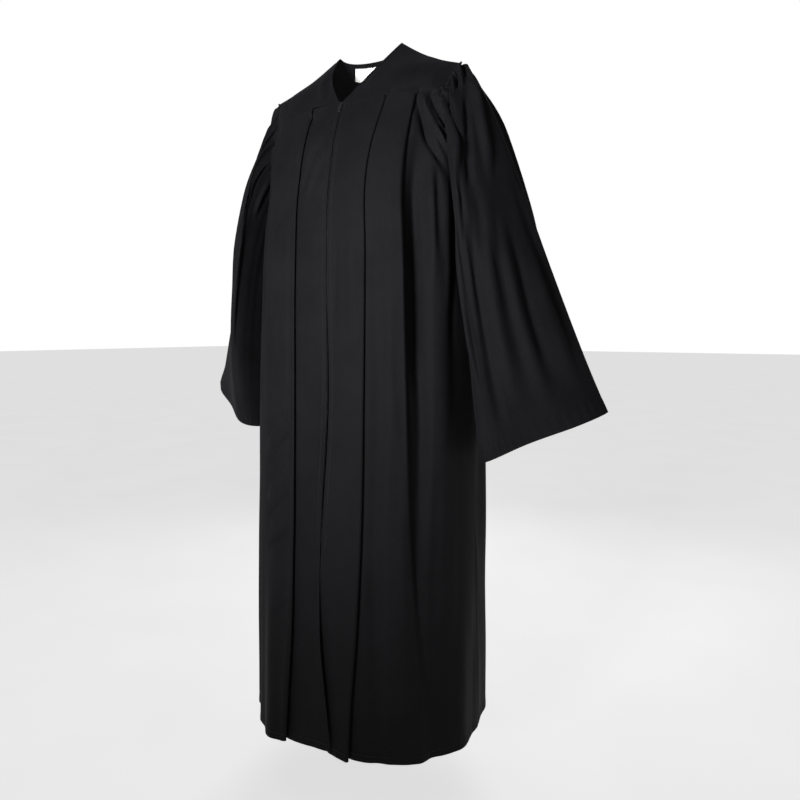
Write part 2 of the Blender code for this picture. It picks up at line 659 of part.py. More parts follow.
def make_sleeve(side_name, side, pose):
    entries = ring()
    points = np.array([entry[0] for entry in entries])
    steps = np.linalg.norm(np.roll(points, -1, axis=0) - points, axis=1)
    lengths = np.concatenate([[0.0], np.cumsum(steps)]) / steps.sum()
    looped = [np.array([entry[part] for entry in entries] + [entries[0][part]], float)
              for part in range(4)]
    hem_shares = [row[0] for row in SLEEVE_HEM]
    hem_points = [row[1:] for row in SLEEVE_HEM]
    columns = []
    for index in range(SLEEVE_COLUMNS):
        share = index / SLEEVE_COLUMNS
        edge, away, out, piece_out = [
            np.array([np.interp(share, lengths, part[:, axis]) for axis in range(3)]) for part in looped]
        away = unit(away)
        out = unit(out)
        walls = HALF_WALL * (abs(float(away @ out)) + abs(float(away @ unit(piece_out))))
        start = edge + away * (SLEEVE_SEAM_GAP + walls)
        over = math.cos(2 * math.pi * share)
        ahead = math.sin(2 * math.pi * share)
        top = max(over, 0.0)
        shoulder = start + np.array([SLEEVE_PUFF + pose["head"] * top + SIDE_PUFF * abs(ahead),
                                     -SIDE_SPREAD * ahead, HEAD_RISE * top - UNDER_DROP * (1 - over)])
        hem = around(hem_shares, hem_points, share) + np.array([-pose["tuck"], 0.0, pose["lift"]])
        elbow = mix(hem, shoulder, ELBOW_SHARE) - np.array([pose["elbow"] * (1 + over) / 2, 0.0, 0.0])
        shoulder[1] -= FRONT_FULLNESS[0] * max(ahead, 0.0)
        elbow[1] -= FRONT_FULLNESS[1] * max(ahead, 0.0)
        columns.append((share, start, out, shoulder, elbow, hem))
    grid = []
    for row_share in SLEEVE_ROWS:
        row = []
        for share, start, out, shoulder, elbow, hem in columns:
            u = row_share
            row.append((1 - u) ** 3 * start + 3 * (1 - u) ** 2 * u * shoulder
                       + 3 * (1 - u) * u ** 2 * elbow + u ** 3 * hem)
        grid.append(row)
    middle = np.array(grid)
    out = loop_normals(middle)
    out[0] = unit([column[2] for column in columns])
    out[1] = unit(out[0] + out[1])
    for index, row_share in enumerate(SLEEVE_ROWS):
        for position, column in enumerate(columns):
            middle[index, position] += out[index, position] * sleeve_gather(column[0], row_share)
    inner = loop_normals(middle)
    inner[0] = out[0]
    middle[..., 0] *= side
    inner[..., 0] *= side
    return wall("sleeve_" + side_name, middle, inner, WALL, "cloth", closed=True)


def loop_normals(middle):
    """Outward directions of a closed tube of rings that run down from the armhole."""
    around_ring = np.roll(middle, -1, axis=1) - np.roll(middle, 1, axis=1)
    down = np.gradient(middle, axis=0)
    return -unit(np.cross(around_ring, down))


# Zip, slider, pull tab and label

TAPE_WIDTH = 0.011
TAPE_THICKNESS = 0.0010
SLIDER_SIZE = (0.0070, 0.0030, 0.0090)     # across, through, along the zip
SLIDER_CLEAR = 0.00047                     # from the tapes, whose edges slope a little
BRIDGE_WIDTH = 0.0012
BRIDGE_LENGTH = 0.0058
BRIDGE_BAR = 0.0009
BRIDGE_CLEAR = 0.0016                      # space for the pull tab's bar under the bridge
PIVOT_RADIUS = 0.0004
PULL_LENGTH = 0.0150
PULL_WIDTH = 0.0044
PULL_THICKNESS = 0.0009
PULL_RAIL = 0.0009
PULL_WINDOW = 0.0060
LABEL_THICKNESS = 0.0010


def tape_point(table, side, z, from_edge):
    """The middle of a zip tape, which lies against the inside of its front's edge."""
    arc = pleat(table, "centre", z) + FRONT_EDGE_GAP + from_edge
    first, second = front_profile(table, z)[0], front_profile(table, z)[2]
    slope = (second[1] - first[1]) / (second[0] - first[0])
    out = first[1] + slope * (arc - first[0])
    behind = HALF_WALL + SEAM_GAP + 0.0002 + TAPE_THICKNESS / 2
    return on_body(z, arc, out - behind, side)


def make_tape(side_name, side, table):
    top = front_seam_z(front_edge(table, FRONT_SEAM_Z))
    foot = hem_z(side_name, front_edge(table, -LENGTH))
    heights = [top + (foot - top) * share for share in ROW_SHARES[:ZIP_END_ROW + 1]]
    grid = [[tape_point(table, side, z, from_edge) for from_edge in (0.0, TAPE_WIDTH / 2, TAPE_WIDTH)]
            for z in heights]
    middle = np.array(grid)
    out = plan_normals(middle, side)
    return wall("zip_tape_" + side_name, middle, out, TAPE_THICKNESS, "tape")


def bar(mesh, low, high):
    """Add a box to a bmesh, by its corners."""
    for vertex in bmesh.ops.create_cube(mesh, size=1.0)["verts"]:
        vertex.co = [high[axis] if vertex.co[axis] > 0 else low[axis] for axis in range(3)]


def rod(mesh, radius, length):
    """Add a round bar along X, through the origin."""
    turned = Matrix.Rotation(math.pi / 2, 4, "Y")
    bmesh.ops.create_cone(mesh, cap_ends=True, segments=12, radius1=radius, radius2=radius,
                          depth=length, matrix=turned)


def fused(name, builders, colour):
    """One metal body from overlapping bars: the first is joined to each of the others."""
    pieces = []
    for builder, sizes in builders:
        mesh = bmesh.new()
        builder(mesh, *sizes)
        pieces.append(finish(name, mesh, colour, metallic=0.6, roughness=0.4))
    body = pieces[0]
    for number, cutter in enumerate(pieces[1:]):
        cutter.name = "guide_" + name + str(number)
        cutter.hide_render = True
        cutter.display_type = "WIRE"
        cutter.parent = body
        union = body.modifiers.new("union", "BOOLEAN")
        union.operation = "UNION"
        union.object = cutter
    body.name = name
    return body


def zip_frame(z):
    """The front of the tapes on the zip's middle line."""
    behind = TAPE_THICKNESS / 2 + SLIDER_CLEAR
    places = [tape_point(LEFT_PLEATS, 1, z, 0.0), tape_point(RIGHT_PLEATS, -1, z, 0.0)]
    middle = (places[0] + places[1]) / 2
    return middle + np.array([0.0, -behind, 0.0])


def make_slider():
    """Body, bridge and pull tab, lying on the slope of the chest."""
    high, low = zip_frame(SLIDER_TOP_Z), zip_frame(SLIDER_TOP_Z - 0.02)
    tilt = -math.atan2(high[1] - low[1], high[2] - low[2])
    seat = zip_frame(SLIDER_TOP_Z - SLIDER_SIZE[2] / 2)
    half_width, depth, half_length = SLIDER_SIZE[0] / 2, SLIDER_SIZE[1], SLIDER_SIZE[2] / 2
    top = depth + BRIDGE_CLEAR
    half_bridge = BRIDGE_LENGTH / 2
    half_bar = BRIDGE_WIDTH / 2
    sink = 0.0004
    slider = fused("zip_slider", [
        (bar, ((-half_width, -depth, -half_length), (half_width, 0.0, half_length))),
        (bar, ((-half_bar, -top - BRIDGE_BAR, half_bridge - BRIDGE_BAR),
               (half_bar, sink - depth, half_bridge))),
        (bar, ((-half_bar, -top - BRIDGE_BAR, -half_bridge),
               (half_bar, sink - depth, BRIDGE_BAR - half_bridge))),
        (bar, ((-half_bar - 0.0001, -top - BRIDGE_BAR - 0.0001, -half_bridge - 0.0001),
               (half_bar + 0.0001, -top, half_bridge + 0.0001))),
    ], "metal")
    slider.location = seat
    slider.rotation_euler = (tilt, 0.0, 0.0)
    half_pull = PULL_WIDTH / 2
    half_plate = PULL_THICKNESS / 2
    pull = fused("zip_pull", [
        (bar, ((-half_pull, -half_plate, -PULL_LENGTH), (half_pull, half_plate, -PULL_WINDOW))),
        (bar, ((-half_pull + 0.0001, -half_plate + 0.00005, -PULL_WINDOW - sink),
               (PULL_RAIL - half_pull, half_plate - 0.00005, PIVOT_RADIUS))),
        (bar, ((half_pull - PULL_RAIL, -half_plate + 0.00005, -PULL_WINDOW - sink),
               (half_pull - 0.0001, half_plate - 0.00005, PIVOT_RADIUS))),
        (rod, (PIVOT_RADIUS, PULL_WIDTH - PULL_RAIL)),
    ], "metal")
    pivot_z = BRIDGE_BAR + 0.00035 + PIVOT_RADIUS - half_bridge
    reach = depth + BRIDGE_CLEAR / 2
    pull.location = (seat[0], seat[1] - reach * math.cos(tilt) - pivot_z * math.sin(tilt),
                     seat[2] - reach * math.sin(tilt) + pivot_z * math.cos(tilt))
    pull.rotation_euler = (tilt, 0.0, 0.0)


def make_label():
    """A blank woven label inside the back of the neck."""
    behind = HALF_WALL + SEAM_GAP + LABEL_THICKNESS / 2
    columns = [share for share in back_yoke_columns() if LABEL_SHARES[0] <= share <= LABEL_SHARES[1]]
    rows = [[back_yoke(share, down) for share in columns] for down in LABEL_DROPS]
    out = np.array([[direction for _, direction in row] for row in rows])
    middle = np.array([[point for point, _ in row] for row in rows]) - out * behind
    return wall("label", middle, out, LABEL_THICKNESS, "label")


make_front("left", 1, LEFT_PLEATS)
make_front("right", -1, RIGHT_PLEATS)
make_back()
make_front_yoke("left", 1)
make_front_yoke("right", -1)
make_back_yoke()
make_sleeve("left", 1, SLEEVE_POSES["left"])
make_sleeve("right", -1, SLEEVE_POSES["right"])
make_tape("left", 1, LEFT_PLEATS)
make_tape("right", -1, RIGHT_PLEATS)
make_slider()
make_label()
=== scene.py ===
"""The looks of a black choir robe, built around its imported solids.

Metres, +Z up, the front faces -Y and the wearer's left is +X, as in the solids.
"""
import json
import math

import bpy
import numpy as np
from mathutils import Matrix, Vector


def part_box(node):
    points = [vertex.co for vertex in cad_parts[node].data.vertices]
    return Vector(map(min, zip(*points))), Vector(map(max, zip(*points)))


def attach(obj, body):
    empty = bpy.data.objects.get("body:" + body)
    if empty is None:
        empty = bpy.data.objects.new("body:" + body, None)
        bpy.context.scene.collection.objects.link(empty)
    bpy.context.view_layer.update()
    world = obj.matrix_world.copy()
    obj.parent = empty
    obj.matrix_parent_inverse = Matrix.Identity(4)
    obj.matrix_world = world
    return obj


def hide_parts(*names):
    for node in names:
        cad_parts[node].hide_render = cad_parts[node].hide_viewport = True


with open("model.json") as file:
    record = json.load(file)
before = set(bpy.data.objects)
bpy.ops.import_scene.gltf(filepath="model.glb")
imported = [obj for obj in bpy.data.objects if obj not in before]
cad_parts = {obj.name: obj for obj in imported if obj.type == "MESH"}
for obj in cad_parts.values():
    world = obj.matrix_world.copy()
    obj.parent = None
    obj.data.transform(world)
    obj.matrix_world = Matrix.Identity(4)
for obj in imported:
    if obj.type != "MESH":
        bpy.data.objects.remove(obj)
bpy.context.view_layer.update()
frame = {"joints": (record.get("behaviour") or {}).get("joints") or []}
bpy.ops.object.select_all(action="DESELECT")


# The gown's cloth: a matte black polyester, plain woven, with a faint cool sheen on its
# raised folds and a fine grain of duller and brighter threads.

class Value:
    """A shader socket that does arithmetic."""

    def __init__(self, tree, socket):
        self.tree = tree
        self.socket = socket

    def joined(self, operation, first, second):
        return Shader(self.tree).add("ShaderNodeMath", {"operation": operation}, {0: first, 1: second})

    def __add__(self, other):
        return self.joined("ADD", self, other)

    def __radd__(self, other):
        return self.joined("ADD", other, self)

    def __sub__(self, other):
        return self.joined("SUBTRACT", self, other)

    def __rsub__(self, other):
        return self.joined("SUBTRACT", other, self)

    def __mul__(self, other):
        return self.joined("MULTIPLY", self, other)

    def __rmul__(self, other):
        return self.joined("MULTIPLY", other, self)


class Shader:
    """Adds nodes to one material's tree."""

    def __init__(self, tree):
        self.tree = tree

    def add(self, kind, settings=None, inputs=None, output=0):
        """A node: its settings first, then the values or links of its sockets."""
        node = self.tree.nodes.new(kind)
        for name, value in (settings or {}).items():
            if name == "stops":
                ramp = node.color_ramp.elements
                for position, _ in value[2:]:
                    ramp.new(position)
                for element, (position, colour) in zip(ramp, value):
                    element.position = position
                    element.color = (*colour, 1.0)
            else:
                setattr(node, name, value)
        for key, value in (inputs or {}).items():
            if isinstance(value, Value):
                self.tree.links.new(value.socket, node.inputs[key])
            else:
                node.inputs[key].default_value = value
        return Value(self.tree, node.outputs[output])


def new_material(name, **constants):
    """A Principled material with its constants set, and what adds nodes to it."""
    material = bpy.data.materials.new(name)
    material.use_nodes = True
    surface = material.node_tree.nodes["Principled BSDF"]
    for socket, value in constants.items():
        surface.inputs[socket.replace("_", " ")].default_value = value
    return material, Shader(material.node_tree), surface


def feed(shader, surface, **links):
    for socket, value in links.items():
        shader.tree.links.new(value.socket, surface.inputs[socket.replace("_", " ")])


THREAD_PITCH = 0.00055          # from one thread of the weave to the next
CLOTH_DARK = (0.0012, 0.0012, 0.0015)
CLOTH_LIGHT = (0.0080, 0.0079, 0.0092)
SHEEN_TINT = (0.80, 0.82, 0.94, 1.0)


def gown_cloth():
    material, shader, surface = new_material(
        "gown_cloth", Specular_IOR_Level=0.07,
        Sheen_Weight=0.020, Sheen_Roughness=0.45, Sheen_Tint=SHEEN_TINT)
    weave = shader.add("ShaderNodeUVMap", {"uv_map": "weave"})
    place = shader.add("ShaderNodeTexCoord", output="Object")
    threads = [
        shader.add("ShaderNodeTexWave", {"wave_type": "BANDS", "bands_direction": direction},
                   {"Vector": weave, "Scale": math.pi / (10 * THREAD_PITCH), "Distortion": 0.6,
                    "Detail": 1.0, "Detail Scale": 2.0}, output="Fac")
        for direction in ("X", "Y")]
    grain = shader.add("ShaderNodeTexNoise", {"noise_dimensions": "3D"},
                       {"Vector": place, "Scale": 620.0, "Detail": 2.0, "Roughness": 0.6})
    clouds = shader.add("ShaderNodeTexNoise", {"noise_dimensions": "3D"},
                        {"Vector": place, "Scale": 16.0, "Detail": 3.0, "Roughness": 0.55})
    crumple = shader.add("ShaderNodeTexNoise", {"noise_dimensions": "3D"},
                         {"Vector": place, "Scale": 55.0, "Detail": 3.0, "Roughness": 0.5})
    tone = 0.55 * grain + 0.25 * clouds + 0.10 * threads[0] + 0.10 * threads[1]
    colour = shader.add("ShaderNodeValToRGB",
                        {"stops": [(0.30, CLOTH_DARK), (0.70, CLOTH_LIGHT)]}, {"Fac": tone})
    height = threads[0] * threads[1]
    weave_bump = shader.add("ShaderNodeBump", {}, {"Height": height, "Strength": 0.35,
                                                   "Distance": 0.00012})
    bumped = shader.add("ShaderNodeBump", {}, {"Height": crumple, "Strength": 0.25,
                                               "Distance": 0.0012, "Normal": weave_bump})
    feed(shader, surface, Base_Color=colour, Normal=bumped,
         Roughness=0.66 + 0.12 * clouds + 0.06 * grain)
    return material


CLOTH = gown_cloth()


# The body's tube: rings of the gown in plan, from the hem up to the chest. Every panel of the
# body is laid on it by its height, its distance round from the centre front, and how far it
# stands out.

LENGTH = 1.295
SEAM_GAP = 0.0003
BODY_CENTRE_Y = 0.010
SECTION_HEIGHTS = (-1.295, -1.100, -0.920, -0.660, -0.400, -0.272, -0.200, -0.140, -0.100)
SECTIONS = {
    "half_width": (0.2310, 0.2280, 0.2250, 0.2210, 0.2165, 0.2110, 0.2080, 0.2060, 0.2040),
    "front": (0.215, 0.202, 0.189, 0.177, 0.159, 0.143, 0.126, 0.102, 0.088),
    "back": (0.220, 0.210, 0.198, 0.178, 0.147, 0.120, 0.100, 0.084, 0.072),
    "square": (2.1, 2.2, 2.3, 2.4, 2.5, 2.6, 2.8, 3.0, 3.0),
    "turn": (9.0, 7.0, 5.0, 5.0, 2.0, 0.0, 0.0, 0.0, 0.0),
}
TUBE_HEIGHTS = np.linspace(-1.315, -0.085, 124)
ARC_STEP = 0.002
ARC_COUNT = 400


def smooth(x):
    x = np.clip(x, 0.0, 1.0)
    return x * x * (3 - 2 * x)


def bump(distance, half_width):
    """A soft hump: 1 in the middle, 0 from half_width outwards."""
    return 0.5 + 0.5 * np.cos(math.pi * np.clip(np.abs(distance) / half_width, 0.0, 1.0))


def mix(a, b, share):
    return a * (1 - share) + b * share


def unit(vectors):
    vectors = np.asarray(vectors, float)
    return vectors / np.linalg.norm(vectors, axis=-1, keepdims=True)


def through(x, places, values):
    """A smooth curve through the rows of a table."""
    places, values = np.asarray(places, float), np.asarray(values, float)
    slopes = np.gradient(values, places)
    x = np.clip(x, places[0], places[-1])
    row = np.clip(np.searchsorted(places, x, side="right") - 1, 0, len(places) - 2)
    span = places[row + 1] - places[row]
    t = (x - places[row]) / span
    return ((2 * t ** 3 - 3 * t ** 2 + 1) * values[row] + (t ** 3 - 2 * t ** 2 + t) * span * slopes[row]
            + (3 * t ** 2 - 2 * t ** 3) * values[row + 1] + (t ** 3 - t ** 2) * span * slopes[row + 1])


def plan_ring(z):
    """Half of the plan outline at height z, at even steps from centre front to centre back."""
    phi = np.linspace(0.0, math.pi, 721)
    width, front, back, square = [through(z, SECTION_HEIGHTS, SECTIONS[name])
                                  for name in ("half_width", "front", "back", "square")]
    cosine = np.cos(phi)
    bent = np.sign(cosine) * np.abs(cosine) ** (2 / square)
    x = width * np.sin(phi).clip(0) ** (2 / square)
    y = -np.where(cosine > 0, front, back) * bent
    lengths = np.concatenate([[0.0], np.cumsum(np.hypot(np.diff(x), np.diff(y)))])
    arcs = np.arange(ARC_COUNT) * ARC_STEP
    return np.interp(arcs, lengths, x), np.interp(arcs, lengths, y), lengths[-1], lengths[np.argmax(x)]


RINGS = [plan_ring(z) for z in TUBE_HEIGHTS]
RING_X = np.array([ring[0] for ring in RINGS])
RING_Y = np.array([ring[1] for ring in RINGS])
RING_GIRTH = np.array([ring[2] for ring in RINGS])
RING_SIDE = np.array([ring[3] for ring in RINGS])


def half_girth(z):
    return np.interp(z, TUBE_HEIGHTS, RING_GIRTH)


def side_arc(z):
    """Length of the outline from the centre front to the side seam."""
    return np.interp(z, TUBE_HEIGHTS, RING_SIDE)


def plan_point(z, arc):
    """The tube's x and y at height z and at an arc length, which may pass either centre."""
    girth = half_girth(z)
    folded = girth - np.abs(girth - np.abs(arc))
    level = np.clip((z - TUBE_HEIGHTS[0]) / (TUBE_HEIGHTS[1] - TUBE_HEIGHTS[0]), 0, len(RINGS) - 1.001)
    along = np.clip(folded / ARC_STEP, 0, ARC_COUNT - 1.001)
    low, left = level.astype(int), along.astype(int)
    up, right = level - low, along - left

    def blended(table):
        lower = mix(table[low, left], table[low, left + 1], right)
        upper = mix(table[low + 1, left], table[low + 1, left + 1], right)
        return mix(lower, upper, up)

    sign = np.where((arc < 0) | (arc > girth), -1.0, 1.0)
    return sign * blended(RING_X), blended(RING_Y)


def on_body(z, arc, out=0.0, side=1):
    """Points at height z and arc length from the centre front, moved out of the tube.

    side is 1 for the wearer's left and -1 for the right.
    """
    z, arc, out = np.broadcast_arrays(*[np.asarray(value, float) for value in (z, arc, out)])
    reach = 0.004
    ahead, behind = plan_point(z, arc + reach), plan_point(z, arc - reach)
    tangent = unit(np.stack([ahead[0] - behind[0], ahead[1] - behind[1]], axis=-1))
    x, y = plan_point(z, arc)
    x = side * (x + out * tangent[..., 1])
    y = y - out * tangent[..., 0]
    turn = np.radians(through(z, SECTION_HEIGHTS, SECTIONS["turn"]))
    return np.stack([np.cos(turn) * x - np.sin(turn) * y,
                     BODY_CENTRE_Y + np.sin(turn) * x + np.cos(turn) * y, z], axis=-1)


# Folds and shells: every sheet of cloth is a thin shell on a grid of columns and rows, whose
# folds are soft troughs and ridges placed one by one along short lines.

CLOTH_THICKNESS = 0.0007


def fold_line(points, half_width, u, v):
    """How strongly a fold along a line of points is felt at each (u, v), from 0 to 1."""
    points = np.asarray(points, float)
    steps = np.linalg.norm(np.diff(points, axis=0), axis=1)
    starts = np.concatenate([[0.0], np.cumsum(steps)])
    nearest = np.full(np.shape(u), np.inf)
    along = np.zeros(np.shape(u))
    for start, (p, q), step in zip(starts, zip(points[:-1], points[1:]), steps):
        t = np.clip(((u - p[0]) * (q[0] - p[0]) + (v - p[1]) * (q[1] - p[1])) / step ** 2, 0, 1)
        distance = np.hypot(u - p[0] - t * (q[0] - p[0]), v - p[1] - t * (q[1] - p[1]))
        closer = distance < nearest
        nearest = np.where(closer, distance, nearest)
        along = np.where(closer, (start + t * step) / starts[-1], along)
    ends = smooth(along / 0.35) * smooth((1 - along) / 0.35)
    return bump(nearest, half_width) * ends


def folded(relief, folds, u, v):
    """A sheet's relief with a table's folds added, one after the other."""
    for depth, half_width, points in folds:
        relief = relief + depth * fold_line(points, half_width, u, v)
    return relief


def rumple(u, v, seed, depth, shortest=0.030, longest=0.160, lean=0.35):
    """Faint waves in every direction but mostly upright, as in hanging cloth."""
    draws = np.random.default_rng(seed)
    total = 0.0
    for _ in range(16):
        length = draws.uniform(shortest, longest)
        angle = draws.normal(0.0, lean)
        phase = draws.uniform(0.0, 2 * math.pi)
        across = u * math.cos(angle) + v * math.sin(angle)
        total = total + length / longest * np.sin(2 * math.pi * across / length + phase)
    return depth * total / 2.4


def quads(index, beneath, closed):
    """Faces of a shell over a grid of point numbers, whose inner layer is numbered beneath."""
    a, b, c, d = index[:-1, :-1], index[:-1, 1:], index[1:, 1:], index[1:, :-1]
    outer = np.stack([a, b, c, d], axis=-1).reshape(-1, 4)
    top, foot = index[0], index[-1]
    rims = [(top[1:], top[:-1]), (foot[:-1], foot[1:])]
    if not closed:
        first, last = index[:, 0], index[:, -1]
        rims += [(first[:-1], first[1:]), (last[1:], last[:-1])]
    edges = [np.stack([p, q, q + beneath, p + beneath], axis=-1) for p, q in rims]
    return np.concatenate([outer, outer[:, ::-1] + beneath] + edges)


def grid_normals(middle, closed=False):
    if closed:
        across = np.roll(middle, -1, axis=1) - np.roll(middle, 1, axis=1)
    else:
        across = np.gradient(middle, axis=1)
    return unit(np.cross(across, np.gradient(middle, axis=0)))


def shell(name, middle, out, thickness=CLOTH_THICKNESS, closed=False, material=None):
    """A closed thin shell around a grid of middle points, with a UV map in metres of cloth."""
    rows, columns = middle.shape[:2]
    half = np.broadcast_to(np.asarray(thickness, float) / 2, (rows, columns))[..., None]
    points = np.concatenate([(middle + out * half).reshape(-1, 3), (middle - out * half).reshape(-1, 3)])
    index = np.arange(rows * columns).reshape(rows, columns)
    around = middle
    if closed:
        index = np.concatenate([index, index[:, :1]], axis=1)
        around = np.concatenate([middle, middle[:, :1]], axis=1)
    widths = np.linalg.norm(np.diff(around, axis=1), axis=2).mean(axis=0)
    heights = np.linalg.norm(np.diff(around, axis=0), axis=2).mean(axis=1)
    u, v = [np.concatenate([[0.0], np.cumsum(steps)]) for steps in (widths, heights)]
    flat = np.stack(np.meshgrid(u, -v), axis=-1).reshape(-1, 2)
    flat_index = np.arange(len(flat)).reshape(rows, -1)
    faces = quads(index, rows * columns, closed)
    corners = quads(flat_index, len(flat), closed)
    facing = np.cross(points[faces[:, 1]] - points[faces[:, 0]], points[faces[:, 2]] - points[faces[:, 0]])
    outer = (rows - 1) * (index.shape[1] - 1)
    if (facing[:outer] * out[:-1, :index.shape[1] - 1].reshape(-1, 3)).sum() < 0:
        faces, corners = faces[:, ::-1], corners[:, ::-1]
    mesh = bpy.data.meshes.new(name)
    mesh.from_pydata(points.tolist(), [], faces.tolist())
    layer = mesh.uv_layers.new(name="weave")
    layer.data.foreach_set("uv", np.concatenate([flat, flat])[corners].astype(np.float32).ravel())
    mesh.shade_smooth()
    mesh.set_sharp_from_angle(angle=math.radians(50))
    mesh.materials.append(material or CLOTH)
    piece = bpy.data.objects.new(name, mesh)
    bpy.context.scene.collection.objects.link(piece)
    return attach(piece, "robe")


def edge_band(distance, width, extra=0.0007, step=0.0015):
    """Extra thickness where an edge is turned under and doubled."""
    return extra * (1 - smooth((distance - width) / step))


# Thread: lock stitches 3 mm long, each a short bowed strand that dips into the cloth at both
# ends, in black cotton a little glossier than the cloth.

STITCH_LENGTH = 0.0031
STITCH_SPACE = 0.0007
THREAD_RADIUS = 0.00021


def speckled(name, specular, scale, detail, dark, light, smoothest, duller, relief=0.0):
    """A material whose colour, roughness and relief follow one fine noise."""
    material, shader, surface = new_material(name, Specular_IOR_Level=specular)
    place = shader.add("ShaderNodeTexCoord", output="Object")
    speck = shader.add("ShaderNodeTexNoise", {}, {"Vector": place, "Scale": scale, "Detail": detail})
    colour = shader.add("ShaderNodeValToRGB", {"stops": [(0.3, dark), (0.7, light)]}, {"Fac": speck})
    if relief:
        feed(shader, surface, Normal=shader.add(
            "ShaderNodeBump", {}, {"Height": speck, "Strength": relief, "Distance": 0.0001}))
    feed(shader, surface, Base_Color=colour, Roughness=smoothest + duller * speck)
    return material


THREAD = speckled("sewing_thread", 0.4, 1600.0, 1.0, (0.004, 0.004, 0.0045), (0.013, 0.013, 0.0145),
                  0.42, 0.16, relief=0.4)


def strands(name, starts, ends, outs, radius, bow, material):
    """Short bowed strands, each with three rings of four points, joined in one mesh."""
    starts, ends, outs = [np.asarray(rows, float) for rows in (starts, ends, outs)]
    along = unit(ends - starts)
    across = unit(np.cross(along, outs))
    points = []
    for share, lift, width in ((0.0, -0.4, 0.7), (0.25, 0.75, 1.0), (0.75, 0.75, 1.0), (1.0, -0.4, 0.7)):
        middle = mix(starts, ends, share) + outs * bow * lift
        for turn in range(4):
            angle = math.pi * (turn + 0.5) / 2
            points.append(middle + radius * width * (math.cos(angle) * across + math.sin(angle) * outs))
    points = np.stack(points, axis=1)
    ring = np.arange(4)
    beside = (ring + 1) % 4
    faces = [np.stack([ring + 4 * level, beside + 4 * level, beside + 4 * level + 4, ring + 4 * level + 4],
                      axis=1) for level in range(3)]
    faces += [np.array([[3, 2, 1, 0]]), np.array([[12, 13, 14, 15]])]
    faces = np.concatenate(faces)
    shifts = 16 * np.arange(len(starts))[:, None, None]
    mesh = bpy.data.meshes.new(name)
    mesh.from_pydata(points.reshape(-1, 3).tolist(), [], (faces + shifts).reshape(-1, 4)[:, ::-1].tolist())
    mesh.shade_smooth()
    mesh.materials.append(material)
    piece = bpy.data.objects.new(name, mesh)
    bpy.context.scene.collection.objects.link(piece)
    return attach(piece, "robe")


def stitching(name, paths, length=STITCH_LENGTH, space=STITCH_SPACE, radius=THREAD_RADIUS, thread=THREAD):
    """Rows of stitches along paths, each a list of points and of outward directions."""
    starts, ends, outs = [], [], []
    for points, normals in paths:
        travelled = np.concatenate([[0.0], np.cumsum(np.linalg.norm(np.diff(points, axis=0), axis=1))])
        count = int(travelled[-1] / (length + space))
        for number in range(count):
            at = [number * (length + space), number * (length + space) + length]
            start, end, out = [np.array([np.interp(place, travelled, rows[:, axis]) for axis in range(3)])
                               for place, rows in ((at[0], points), (at[1], points), (at[0], normals))]
            starts.append(start)
            ends.append(end)
            outs.append(out)
    piece = strands(name, starts, ends, unit(outs), radius, 0.9 * radius, thread)
    return piece


# Fronts: two panels that hang from the front yokes, each laid in two flat pleats, with the
# zip between their inner edges and an open slit below it. The hem is turned up and sewn.

FRONT_SEAM_Z = -0.1160
FRONT_SEAM_DROP = 0.013
FRONT_SEAM_END = 0.200
UNDERARM_Z = -0.272
SLIDER_FOOT_Z = -0.1320
HEM_DIP = 0.008
HEM_RISE = 0.010
FRONT_EDGE_GAP = 0.0006
SLIDER_OPENING = 0.0042
ZIP_END_Z = -0.917
HEM_TURN = 0.012                # height of the turned hem
TOPSTITCH = 0.0075              # from a front's free edge
STITCH_DENT = 0.0005            # how deep a row of stitches draws the cloth in
TOPSTITCH_DENT_WIDTH = 0.0022
HEM_DENT_WIDTH = 0.0026
HEM_RIPPLE = 0.0004             # puckers on both sides of the hem's stitches
HEM_RIPPLE_WIDTH = 0.016
SEAM_DENT = 0.0012
SEAM_DENT_WIDTH = 0.0045
TOP_PUCKER = 0.0006             # small gathers at the yoke seam, and one's width
TOP_PUCKER_PITCH = 0.013

PLEAT_HEIGHTS = (-1.295, -1.190, -1.100, -0.920, -0.660, -0.400, -0.230, -0.125)
PLEATS = {
    "left": {
        "centre": (0.016, 0.003, -0.003, 0.008, 0.015, 0.011, 0.009, 0.002),
        "inner": (0.059, 0.065, 0.073, 0.084, 0.084, 0.087, 0.086, 0.096),
        "outer": (0.185, 0.183, 0.180, 0.172, 0.158, 0.154, 0.150, 0.152),
        "centre_out": (-0.007, -0.009, -0.006, 0.000, 0.000, 0.000, 0.000, 0.000),
        "faces": 1,
    },
    "right": {
        "centre": (-0.030, -0.018, -0.009, -0.006, -0.013, -0.009, -0.007, -0.002),
        "inner": (0.070, 0.062, 0.057, 0.055, 0.060, 0.063, 0.063, 0.066),
        "outer": (0.166, 0.164, 0.162, 0.160, 0.156, 0.152, 0.150, 0.146),
        "centre_out": (0.006, 0.004, 0.004, 0.000, 0.000, 0.000, 0.000, 0.000),
        "faces": -1,
    },
}
# How far each fold turns back under itself, or how far it has opened out where negative, and
# the distance from one layer of it to the next.
PLEAT_UNDER = {
    "inner": (0.012, 0.011, 0.010, 0.009, 0.009, 0.010, 0.012, 0.018),
    "outer": (-0.014, -0.010, -0.004, 0.003, 0.008, 0.010, 0.012, 0.018),
}
PLEAT_PLY = {
    "inner": (0.0066, 0.0064, 0.0058, 0.0048, 0.0038, 0.0032, 0.0028, 0.0026),
    "outer": (0.0050, 0.0048, 0.0046, 0.0042, 0.0038, 0.0034, 0.0030, 0.0026),
}
SIDE_SHARES = (0.07, 0.16, 0.26, 0.38, 0.52, 0.66, 0.80, 0.91, 1.0)
SEAM_SHARE = 0.38
SETTLE_SHARE = 0.30
STRIP_SHARES = (0.0, 0.09, 0.40, 0.72, 0.93)
BETWEEN_SHARES = (0.12, 0.34, 0.58, 0.80, 0.94)

